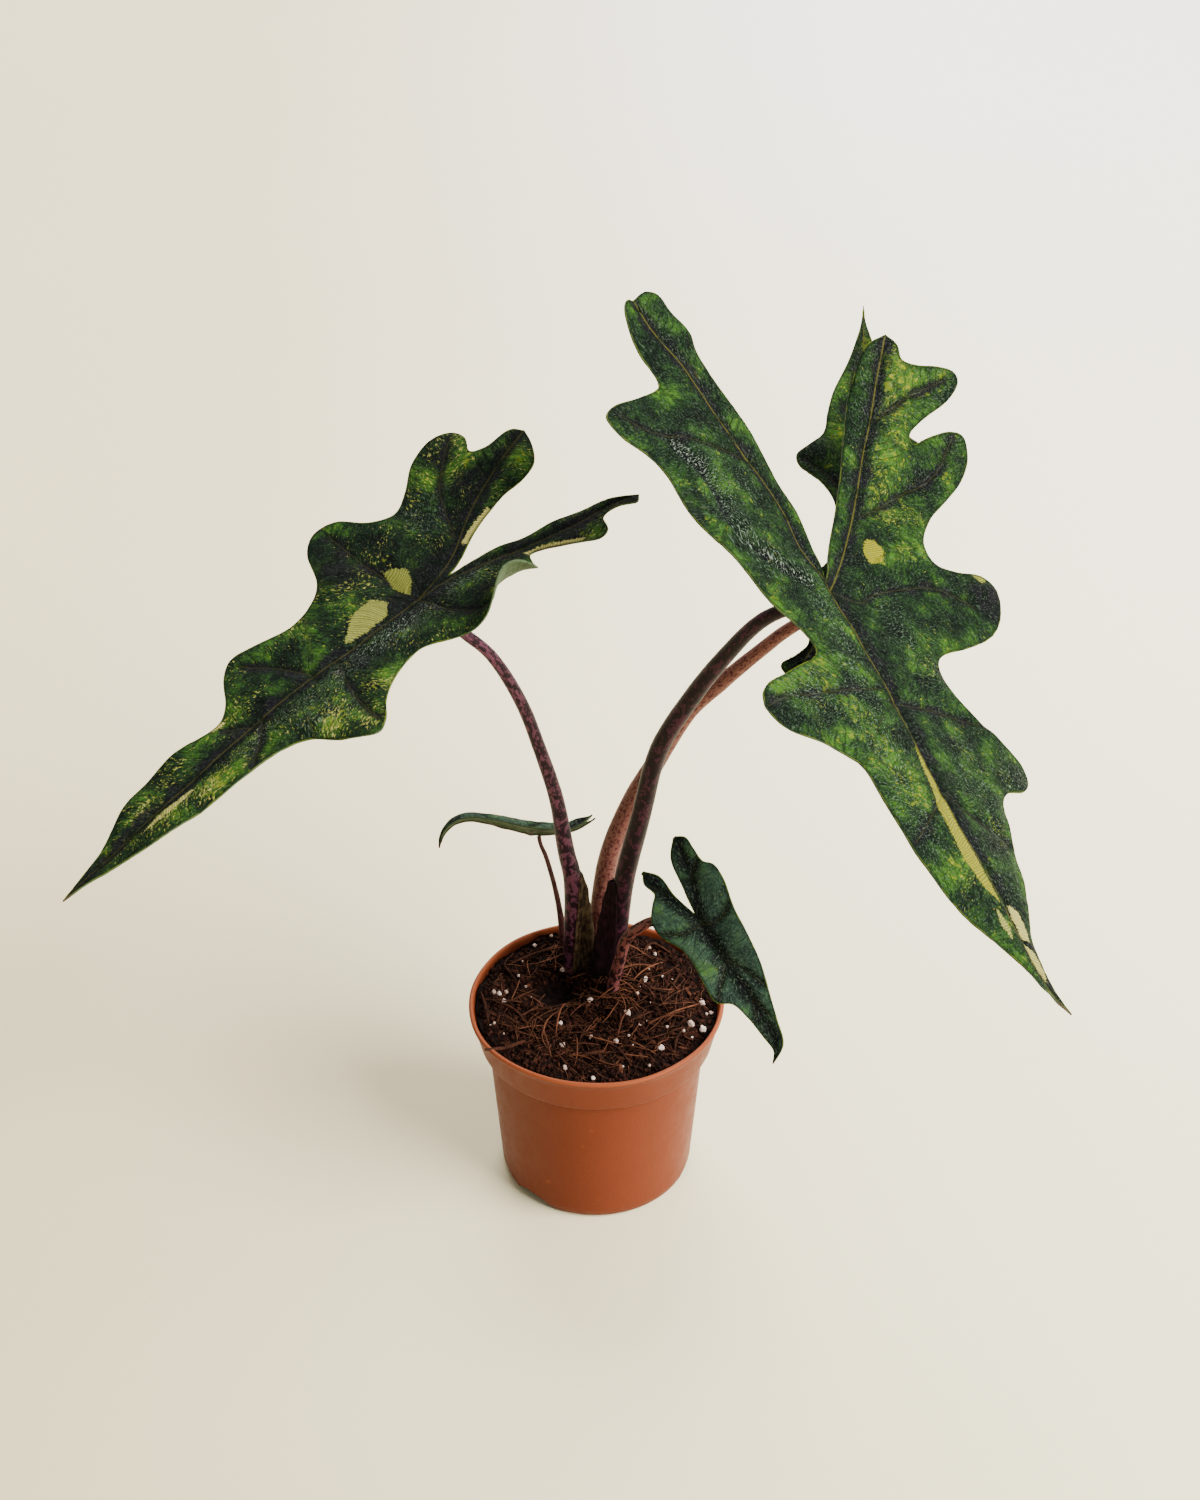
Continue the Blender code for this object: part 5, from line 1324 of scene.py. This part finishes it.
pot = lathe("nursery_pot", pot_profile(), POT_SIDES, 3.0)
cutters = bpy.data.collections.new("cutters")
for angle in DRAIN_ANGLES:
    cutters.objects.link(half_round_cutter(angle, DRAIN_WIDTH, DRAIN_HEIGHT))
cutters.objects.link(half_round_cutter(NICK_ANGLE, NICK_WIDTH, NICK_HEIGHT))
cut = pot.modifiers.new("slots", "BOOLEAN")
cut.operation = "DIFFERENCE"
cut.operand_type = "COLLECTION"
cut.collection = cutters
cut.solver = "EXACT"
plain_mesh(pot)
for cutter in list(cutters.objects):
    bpy.data.objects.remove(cutter, do_unlink=True)
bpy.data.collections.remove(cutters)
for vertex in pot.data.vertices:
    x, y, z = vertex.co
    turn = math.atan2(y, x)
    share = max(0.0, (z / MM - 70) / 28) ** 2
    stretch = 0.45 * math.sin(2 * turn + 0.6) + 0.22 * math.sin(5 * turn + 2.1) + 0.12 * math.sin(9 * turn)
    radius = math.hypot(x, y)
    if radius > 20 * MM:
        vertex.co.x *= 1 + share * stretch * MM / radius
        vertex.co.y *= 1 + share * stretch * MM / radius
        vertex.co.z += share * MM * 0.3 * math.sin(3 * turn + 1.0)
inner = np.zeros(len(pot.data.vertices), np.float32)
for number, vertex in enumerate(pot.data.vertices):
    x, y, z = vertex.co / MM
    body = FOOT_RADIUS + (BODY_TOP_RADIUS - FOOT_RADIUS) * z / BAND_FOOT_Z
    band = BAND_FOOT_RADIUS + (RIM_RADIUS - LIP - BAND_FOOT_RADIUS) * (z - BAND_FOOT_Z) / (POT_HEIGHT - BAND_FOOT_Z)
    inner[number] = 1.0 if math.hypot(x, y) < (band if z > BAND_FOOT_Z + 2 else body) - 0.8 and z > 1 else 0.0
pot.data.attributes.new("inner", "FLOAT", "POINT").data.foreach_set("value", inner)
pot.data.shade_smooth()
pot.data.set_sharp_from_angle(angle=math.radians(50))
print("pot:", len(pot.data.polygons), "faces")

# %% Pot material
material, t, shader = new_material("terracotta_plastic")
place = add(t, "ShaderNodeTexCoord", out="Object")
clouds = add(t, "ShaderNodeTexNoise", {"Vector": place, "Scale": 22.0, "Detail": 3.0})
grain = add(t, "ShaderNodeTexNoise", {"Vector": place, "Scale": 900.0, "Detail": 3.0})
scuffs = add(t, "ShaderNodeTexNoise", {"Vector": place, "Scale": 130.0, "Detail": 5.0, "Roughness": 0.7})
colour = mix(t, clouds, (0.110, 0.0225, 0.0090, 1), (0.138, 0.030, 0.0125, 1))
colour = mix(t, ramp(t, scuffs, 0.62, 0.74, 0.0, 0.35), colour, (0.24, 0.065, 0.025, 1))
up = add(t, "ShaderNodeSeparateXYZ", {0: place}, out=2)
lip_mask = ramp(t, up, 0.0958, 0.0976)
colour = mix(t, maths(t, "MULTIPLY", lip_mask, 0.55), colour, (0.29, 0.075, 0.028, 1))
# Inside the wall the colour turns dark brown: painted shade, deepest low down toward the mix and lighter toward the
# lip.
inner = attribute(t, "inner")
colour = mix(t, maths(t, "MULTIPLY", inner, ramp(t, up, 0.092, 0.0975, 0.85, 0.2)), colour, (0.022, 0.006, 0.003, 1))
t.links.new(colour, shader.inputs["Base Color"])
t.links.new(ramp(t, scuffs, 0.3, 0.8, 0.34, 0.5), shader.inputs["Roughness"])
shader.inputs["Specular IOR Level"].default_value = 0.06
bump = add(t, "ShaderNodeBump", {"Height": maths(t, "ADD", grain, maths(t, "MULTIPLY", scuffs, 2.0)),
                                 "Distance": 0.0001, "Strength": 0.5})
t.links.new(bump, shader.inputs["Normal"])
pot.data.materials.clear()
pot.data.materials.append(material)
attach(pot, "root")
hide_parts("pot")

# %% [markdown]
# ## Potting mix
#
# The mix is dark peat and coir: a rough, crumbly bed with curved tan fibres, bark chips and
# white perlite grains strewn over it. The bed is a mesh pushed up and down by noise. The
# loose bits are a few small shapes that Geometry Nodes strew over the bed at random.

# %% Bed of the mix
SOIL_WALL_Z = 94.3
SOIL_CROWN = 0.6
HOLLOW_CENTRE = (-20.0, 13.0)
HOLLOW_WIDTH = 13.0
HOLLOW_DEPTH = 10.0
BED_RADIUS = 56.9
BED_SIDES = 260
BED_RINGS = 76


def soil_height(x, y):
    """Height of the loose top of the mix, with clods and the hollow beside the stem."""
    radius = math.hypot(x, y)
    crown = SOIL_CROWN * (1 - (radius / BAND_FOOT_RADIUS) ** 2)
    clods = 0.7 * math.sin(0.21 * x + 1.3 * math.sin(0.13 * y))
    clods += 0.6 * math.sin(0.27 * y + 1.1 * math.sin(0.19 * x + 2))
    clods += 0.4 * math.sin(0.55 * x + 0.4) * math.sin(0.47 * y + 1.7)
    away = math.hypot(x - HOLLOW_CENTRE[0], y - HOLLOW_CENTRE[1]) / HOLLOW_WIDTH
    return SOIL_WALL_Z + crown + clods - HOLLOW_DEPTH * math.exp(-(away**2))


def crumbs(x, y):
    """Fine roughness on top of the clods, in millimetres."""
    rough = 0.9 * noise.fractal(Vector((x * 0.16, y * 0.16, 1.0)), 0.7, 2.1, 5)
    return rough + 0.5 * noise.cell(Vector((x * 0.55, y * 0.55, 3.0)))


shape = bmesh.new()
wall = [(42.6, 1.8), (44.3, 3.4), (49.6, 78.0), (50.3, 79.2), (53.6, 80.2), (55.2, 86.0), (56.4, 92.0)]
rows = []
for ring in range(len(wall) + BED_RINGS):
    row = []
    for side in range(BED_SIDES):
        angle = 2 * math.pi * side / BED_SIDES
        if ring < len(wall):
            radius, z = wall[ring]
            x, y = radius * math.cos(angle), radius * math.sin(angle)
        else:
            radius = BED_RADIUS * (1 - (ring - len(wall)) / BED_RINGS)
            x, y = radius * math.cos(angle), radius * math.sin(angle)
            z = soil_height(x, y) + crumbs(x, y)
        row.append(shape.verts.new((x * MM, y * MM, z * MM)))
    rows.append(row)
for low, high in zip(rows, rows[1:]):
    for n in range(BED_SIDES):
        m = (n + 1) % BED_SIDES
        shape.faces.new((low[n], low[m], high[m], high[n]))
shape.faces.new(rows[0][::-1])
top = shape.verts.new((0, 0, (soil_height(0, 0) + crumbs(0, 0)) * MM))
for n in range(BED_SIDES):
    shape.faces.new((rows[-1][n], rows[-1][(n + 1) % BED_SIDES], top))
bmesh.ops.recalc_face_normals(shape, faces=shape.faces)
mesh = bpy.data.meshes.new("potting_mix")
shape.to_mesh(mesh)
shape.free()
bed = new_object("potting_mix", mesh)
mesh.shade_smooth()
for title, reach, clear in (("middle", 44.0, 1.0), ("bare", 51.0, 0.95), ("to_the_wall", 55.2, 0.75)):
    where = np.zeros(len(mesh.vertices), np.float32)
    for number, vertex in enumerate(mesh.vertices):
        x, y, z = vertex.co / MM
        hollow = math.hypot(x - HOLLOW_CENTRE[0], y - HOLLOW_CENTRE[1]) / HOLLOW_WIDTH
        where[number] = 1.0 if z > 84 and hollow > clear and math.hypot(x, y) < reach else 0.0
    mesh.attributes.new(title, "FLOAT", "POINT").data.foreach_set("value", where)
print("bed:", len(mesh.polygons), "faces")

# %% Mix materials
def crumbly(name, dark, light, scale, roughness=0.95, tone=True):
    """A dull, rough material whose colour runs from dark to light, by piece and by grain."""
    material, t, shader = new_material(name)
    place = add(t, "ShaderNodeTexCoord", out="Object")
    grain = add(t, "ShaderNodeTexNoise", {"Vector": place, "Scale": scale, "Detail": 5.0, "Roughness": 0.7})
    factor = ramp(t, grain, 0.35, 0.7)
    if tone:
        own = maths(t, "POWER", attribute(t, "tone"), 2.2)
        factor = maths(t, "ADD", maths(t, "MULTIPLY", factor, 0.4), maths(t, "MULTIPLY", own, 0.6))
    colour = mix(t, factor, dark, light)
    t.links.new(colour, shader.inputs["Base Color"])
    shader.inputs["Roughness"].default_value = roughness
    shader.inputs["Specular IOR Level"].default_value = 0.08
    bump = add(t, "ShaderNodeBump", {"Height": grain, "Distance": 0.0006, "Strength": 0.8})
    t.links.new(bump, shader.inputs["Normal"])
    return material


peat = crumbly("peat", (0.0016, 0.0007, 0.0005, 1), (0.009, 0.0032, 0.0021, 1), 420.0, tone=False)
coir = crumbly("coir_fibre", (0.004, 0.0014, 0.0009, 1), (0.17, 0.062, 0.030, 1), 300.0, 0.8)
bark = crumbly("bark_chip", (0.008, 0.0026, 0.0016, 1), (0.085, 0.029, 0.014, 1), 260.0, 0.85)
perlite_white = crumbly("perlite", (0.30, 0.19, 0.15, 1), (0.75, 0.62, 0.55, 1), 500.0, 0.8)
crumb_brown = crumbly("peat_crumb", (0.0022, 0.0008, 0.0006, 1), (0.040, 0.0120, 0.0070, 1), 500.0)
bed.data.materials.append(peat)
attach(bed, "root")
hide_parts("soil")

# %% Small shapes to strew
def variants(name, count, maker):
    """A few different small shapes in a collection, to be picked from at random."""
    made = bpy.data.collections.new(name)
    bpy.context.scene.collection.children.link(made)
    for number in range(count):
        shape = bmesh.new()
        maker(shape, np.random.default_rng(number + 11))
        bmesh.ops.recalc_face_normals(shape, faces=shape.faces)
        mesh = bpy.data.meshes.new(name)
        shape.to_mesh(mesh)
        shape.free()
        mesh.shade_smooth()
        obj = bpy.data.objects.new(name, mesh)
        made.objects.link(obj)
    return made


def fibre(shape, rng):
    """A thin curved strand, 10 mm long, with three sides and pointed ends."""
    bend, kink = rng.uniform(-1.6, 1.6), rng.uniform(-0.8, 0.8)
    steps, rings = 8, []
    x, y, heading = -5.0, 0.0, -bend / 2
    for step in range(steps + 1):
        share = step / steps
        radius = 0.21 * math.sin(math.pi * min(0.97, max(0.03, share))) ** 0.4
        z = 0.8 * math.sin(2.5 * share + kink) + 0.5 * kink * share
        across = Vector((-math.sin(heading), math.cos(heading), 0))
        ring = []
        for turn in (0, 2.1, 4.2):
            offset = across * math.cos(turn) * radius + Vector((0, 0, math.sin(turn) * radius))
            ring.append(shape.verts.new((Vector((x, y, z)) + offset) * MM))
        rings.append(ring)
        heading += (bend + kink * math.cos(5 * share)) / steps
        x += 10 / steps * math.cos(heading)
        y += 10 / steps * math.sin(heading)
    for low, high in zip(rings, rings[1:]):
        for n in range(3):
            shape.faces.new((low[n], low[(n + 1) % 3], high[(n + 1) % 3], high[n]))
    shape.faces.new(rings[0][::-1])
    shape.faces.new(rings[-1])


def lump(shape, rng, stretch=(1, 1, 1), rough=0.25, levels=1):
    """An uneven grain about 2 mm across."""
    bmesh.ops.create_icosphere(shape, subdivisions=levels, radius=1.0)
    for vertex in shape.verts:
        push = 1 + rough * noise.noise(vertex.co * 1.4 + Vector((rng.uniform(0, 9), 0, 0)))
        push += rough * rng.uniform(-0.5, 0.5)
        vertex.co = Vector([c * s for c, s in zip(vertex.co * push, stretch)]) * MM


def splinter(shape, rng):
    """A flat bark chip about 9 mm long, with torn ends."""
    outline = [(-4.5, -0.6), (-2, -1.5), (2.4, -1.3), (4.6, -0.3), (3.8, 0.9), (1, 1.5), (-3.6, 1.1)]
    low, high = [], []
    for x, y in outline:
        x, y = x + rng.uniform(-0.6, 0.6), y + rng.uniform(-0.4, 0.4)
        lift = 0.05 * x * x * 0.3 + rng.uniform(-0.15, 0.15)
        low.append(shape.verts.new(Vector((x, y, lift - 0.4)) * MM))
        high.append(shape.verts.new(Vector((x * 0.94, y * 0.86, lift + 0.4)) * MM))
    count = len(outline)
    for n in range(count):
        m = (n + 1) % count
        shape.faces.new((low[n], low[m], high[m], high[n]))
    shape.faces.new(low[::-1])
    shape.faces.new(high)


# %% Strewing tree
strew_tree, given, result = new_geometry_tree("strew", [
    ("Pieces", "NodeSocketCollection", None),
    ("Where", "NodeSocketString", "bare"),
    ("Density", "NodeSocketFloat", 1.0),
    ("Seed", "NodeSocketInt", 1),
    ("Smallest", "NodeSocketFloat", 0.6),
    ("Largest", "NodeSocketFloat", 1.4),
    ("Tilt", "NodeSocketFloat", 0.4),
    ("Lift", "NodeSocketFloat", 0.0),
    ("Finish", "NodeSocketMaterial", None),
])
t = strew_tree
bare_spot = add(t, "GeometryNodeInputNamedAttribute", {"Name": given["Where"]}, data_type="FLOAT")
density = maths(t, "MULTIPLY", given["Density"], bare_spot)
points = add(t, "GeometryNodeDistributePointsOnFaces",
             {"Mesh": given["Geometry"], "Density": density, "Seed": given["Seed"]})
pieces = add(t, "GeometryNodeCollectionInfo", {"Collection": given["Pieces"], "Separate Children": True,
                                               "Reset Children": True})
tilt_back = maths(t, "MULTIPLY", given["Tilt"], -1.0)
low = add(t, "ShaderNodeCombineXYZ", {0: tilt_back, 1: tilt_back, 2: 0.0})
high = add(t, "ShaderNodeCombineXYZ", {0: given["Tilt"], 1: given["Tilt"], 2: 6.283})
turn = add(t, "FunctionNodeRandomValue", {0: low, 1: high, "Seed": given["Seed"]}, data_type="FLOAT_VECTOR")
size = add(t, "FunctionNodeRandomValue", {2: given["Smallest"], 3: given["Largest"],
                                          "Seed": maths(t, "ADD", given["Seed"], 5.0)},
           out=1, data_type="FLOAT")
strewn = add(t, "GeometryNodeInstanceOnPoints", {
    "Points": points, "Instance": pieces, "Pick Instance": True, "Rotation": turn, "Scale": size})
tone = add(t, "FunctionNodeRandomValue", {2: 0.0, 3: 1.0, "Seed": 77}, out=1, data_type="FLOAT")
strewn = add(t, "GeometryNodeStoreNamedAttribute", {"Geometry": strewn, "Name": "tone", "Value": tone},
             domain="INSTANCE", data_type="FLOAT")
strewn = add(t, "GeometryNodeRealizeInstances", {"Geometry": strewn})
rise = add(t, "ShaderNodeCombineXYZ", {2: given["Lift"]})
strewn = add(t, "GeometryNodeSetPosition", {"Geometry": strewn, "Offset": rise})
strewn = add(t, "GeometryNodeSetMaterial", {"Geometry": strewn, "Material": given["Finish"]})
t.links.new(strewn, result["Geometry"])

# %% Strew the mix
LITTER = (
    ("coir_fibres", 14, fibre, coir,
     dict(Where="bare", Density=95000.0, Seed=3, Smallest=0.3, Largest=1.0, Tilt=0.45, Lift=0.0004)),
    ("coir_strands", 14, fibre, coir,
     dict(Where="middle", Density=26000.0, Seed=13, Smallest=1.0, Largest=2.2, Tilt=0.16, Lift=0.0009)),
    ("peat_crumbs", 8, lambda s, r: lump(s, r, (1, 0.8, 0.7), 0.7), crumb_brown,
     dict(Where="to_the_wall", Density=430000.0, Seed=8, Smallest=0.25, Largest=1.5, Tilt=1.5, Lift=0.0002)),
    ("bark_bits", 8, splinter, bark,
     dict(Where="bare", Density=16000.0, Seed=5, Smallest=0.25, Largest=0.75, Tilt=0.7, Lift=0.0007)),
    ("perlite_grains", 6, lambda s, r: lump(s, r, (1, 0.9, 0.8), 0.35, 2), perlite_white,
     dict(Where="to_the_wall", Density=3600.0, Seed=21, Smallest=0.3, Largest=0.9, Tilt=1.5, Lift=0.0008)),
)
for name, count, maker, finish, values in LITTER:
    shapes = variants(name + "_shapes", count, maker)
    piece = new_object(name, bed.data.copy())
    run_tree(piece, strew_tree, dict(values, Pieces=shapes, Finish=finish))
    for obj in list(shapes.objects):
        bpy.data.objects.remove(obj, do_unlink=True)
    bpy.data.collections.remove(shapes)
    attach(piece, "root")
    triangles = sum(len(face.vertices) - 2 for face in piece.data.polygons)
    print(name, triangles, "triangles")

# %% [markdown]
# ### Twigs and larger grains
#
# A few twigs and grains are large enough to be known one by one: a chip lies over the rim at
# the front left, some strands stand out of the mix, and the largest perlite grains sit where
# the photograph shows them. Each twig is a tapering tube through three points.

# %% Twigs and larger grains
TWIGS = (  # points (x, y, lift over the mix), radius, flatness
    ([(-51, -36.1, 3.6), (-42, -32, 3.0), (-33, -27, 1.2)], 1.25, 0.55),
    ([(-7.9, -38.9, 1.5), (-1.9, -36.8, 2.0), (4.1, -34.7, 1.6)], 1.2, 0.5),
    ([(3.2, -28.5, 1.4), (10.1, -33.4, 2.0), (16.3, -43.6, 1.4)], 0.7, 0.8),
    ([(-25.2, -18.4, 1.6), (-22.7, -27.8, 1.8), (-20.7, -38.2, 1.0)], 0.45, 1.0),
    ([(36.2, -32.7, 1.2), (37.4, -26.4, 1.8), (39.8, -21.3, 1.4)], 0.7, 0.6),
    ([(24.2, -15.5, 1.4), (32.3, -9.5, 2.0), (41.7, -6.7, 1.6)], 0.55, 1.0),
    ([(-27.4, -4.5, 2.0), (-20.8, -2.3, 2.4), (-12.1, 1.3, 3.0), (-7.6, -0.2, 2.0), (-2.4, -6.7, 1.2)], 0.6, 0.9),
    ([(-54.6, 7.0, 1.6), (-51.8, -5.2, 2.2), (-50.4, -13.8, 1.0)], 0.6, 0.9),
    ([(-49.2, 2.0, 1.2), (-38.1, -5.2, 1.8), (-29.3, -23.6, 1.0)], 0.65, 0.9),
    ([(-29.4, -16.6, 1.0), (-22.5, -10.2, 1.8), (-14.1, -8.1, 1.4)], 0.7, 0.7),
    ([(11.2, -8.1, 1.2), (11.6, -15.2, 2.0), (10.1, -22.9, 1.0)], 0.6, 0.8),
    ([(32.0, 0.5, 1.0), (36.5, 11.5, 2.0), (40.6, 22.6, 1.2)], 0.6, 1.0),
    ([(28.0, -10.2, 1.2), (35.5, -8.8, 1.6), (41.1, -10.9, 1.2)], 0.5, 1.0),
    ([(-8.4, -28.5, 1.2), (-5.6, -20.8, 1.8), (-4.3, -13.8, 1.2)], 0.5, 1.0),
    ([(22, 36, 1.0), (27, 44, 2.4), (36, 38, 1.0)], 0.6, 1.0),
    ([(-42, 28, 1.0), (-32, 36, 2.2), (-20, 42, 1.0)], 0.6, 1.0),
    ([(-38, 18, 1.4), (-44, 26, 2.0), (-40, 38, 1.0)], 0.5, 1.0),
)
GRAINS = (  # (x, y, radius) of the larger perlite grains
    (-2.5, 1.9, 2.1), (14.8, -8.2, 2.0), (44.2, -16, 2.0), (49.8, -18.2, 2.0), (9.2, -26.8, 1.6),
    (29.9, -32.1, 1.8), (-2.4, -24.5, 1.2), (-15.6, -28.6, 1.5), (49.9, 1.1, 1.6), (54.0, -5.6, 1.2),
    (-16.7, -15.7, 1.2), (-48.5, 7.7, 1.3), (-46.1, 7.2, 1.3), (-42.9, 9.1, 1.3), (-43.7, 1.9, 1.3),
    (-16.1, 27.3, 1.6), (25.2, 42.6, 1.6), (23.5, 19.0, 1.6), (-14.4, -44.4, 1.5), (-1.4, -51.2, 1.1),
    (19.3, 6.2, 1.2), (28.5, 38.4, 1.0), (-30, 44, 1.2), (-22, 50, 1.0),
)


def strand(shape, points, radius, flatness):
    """A tapering strand with six sides through points given as (x, y, lift over the mix)."""
    raised = [(x, y, soil_height(x, y) + lift) for x, y, lift in points]
    path = smooth_curve(raised, 5)
    rings = []
    for n, point in enumerate(path):
        ahead = path[min(n + 1, len(path) - 1)] - path[max(n - 1, 0)]
        side = np.cross(ahead, (0, 0, 1))
        side /= np.linalg.norm(side)
        above = np.cross(side, ahead / np.linalg.norm(ahead))
        share = (n + 0.5) / len(path)
        girth = radius * (0.4 + 0.6 * math.sin(math.pi * share) ** 0.5) * (1 + 0.14 * math.sin(2.3 * n))
        turns = [math.pi * k / 3 for k in range(6)]
        rings.append([
            shape.verts.new(Vector(point + girth * (math.cos(a) * side + flatness * math.sin(a) * above)) * MM)
            for a in turns])
    for low, high in zip(rings, rings[1:]):
        for k in range(6):
            shape.faces.new((low[k], low[(k + 1) % 6], high[(k + 1) % 6], high[k]))
    shape.faces.new(rings[0][::-1])
    shape.faces.new(rings[-1])


def one_by_one(name, values, maker, finish):
    """A piece of many small bodies, each with its own share from dark to light."""
    shape = bmesh.new()
    tones = []
    for number, value in enumerate(values):
        before = len(shape.verts)
        maker(shape, value, number)
        tones += [0.55 + 0.4 * math.sin(number * 2.7)] * (len(shape.verts) - before)
    bmesh.ops.recalc_face_normals(shape, faces=shape.faces)
    mesh = bpy.data.meshes.new(name)
    shape.to_mesh(mesh)
    shape.free()
    mesh.attributes.new("tone", "FLOAT", "POINT").data.foreach_set("value", np.array(tones, np.float32))
    mesh.shade_smooth()
    mesh.materials.append(finish)
    piece = new_object(name, mesh)
    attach(piece, "root")
    print(name, len(mesh.polygons), "faces")
    return piece


def grain_body(shape, value, number):
    x, y, radius = value
    fresh = bmesh.ops.create_icosphere(shape, subdivisions=3, radius=1.0)["verts"]
    for vertex in fresh:
        push = 1 + 0.6 * noise.noise(vertex.co * 1.3 + Vector((number * 3.1, 0, 0)))
        push += 0.10 * noise.noise(vertex.co * 4.0 + Vector((number, 0, 0)))
        place = Vector((x, y, soil_height(x, y) + 0.7 + 0.2 * radius))
        vertex.co = (vertex.co * push * 0.78 * radius + place) * MM


one_by_one("twigs", TWIGS, lambda shape, value, number: strand(shape, *value), bark)
one_by_one("perlite_large", GRAINS, grain_body, perlite_white)

# %% [markdown]
# Around the foot of the small front stalk the roots show as a fuzzy brown tuft: short fibres
# strewn steeply over a small disc.

# %% Root tuft
tuft_mesh = bpy.data.meshes.new("root_tuft")
shape = bmesh.new()
bmesh.ops.create_circle(shape, cap_ends=True, segments=24, radius=6.5 * MM)
bmesh.ops.translate(shape, verts=shape.verts, vec=Vector((9.5, 6.0, 95.6)) * MM)
shape.to_mesh(tuft_mesh)
shape.free()
tuft_mesh.attributes.new("bare", "FLOAT", "POINT").data.foreach_set(
    "value", np.ones(len(tuft_mesh.vertices), np.float32))
tuft = new_object("root_tuft", tuft_mesh)
shapes = variants("root_shapes", 8, fibre)
run_tree(tuft, strew_tree, dict(Pieces=shapes, Finish=coir, Where="bare", Density=900000.0, Seed=4,
                                Smallest=0.25, Largest=0.6, Tilt=1.2, Lift=0.0003))
for obj in list(shapes.objects):
    bpy.data.objects.remove(obj, do_unlink=True)
bpy.data.collections.remove(shapes)
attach(tuft, "root")
print("root tuft:", len(tuft.data.polygons), "faces")

# %% [markdown]
# ## Stem top
#
# Between the stalks the stem ends in a rough brown crown.

# %% Stem
STEM_CENTRE = (0.0, 27.0)
stem = lathe("stem_crown", [
    (0, 95.4), (5, 95), (9.4, 93.5), (12.5, 90), (12.5, 70), (10.5, 68), (0, 68),
], 64, 1.5)
for vertex in stem.data.vertices:
    push = 1 + 0.06 * noise.fractal(vertex.co * 260, 0.8, 2.0, 4)
    vertex.co.x = vertex.co.x * push + STEM_CENTRE[0] * MM
    vertex.co.y = vertex.co.y * push + STEM_CENTRE[1] * MM
stem.data.shade_smooth()
stem.data.materials.append(crumbly("stem_skin", (0.003, 0.0014, 0.001, 1), (0.022, 0.009, 0.006, 1), 380.0, tone=False))
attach(stem, "root")
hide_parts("stem")
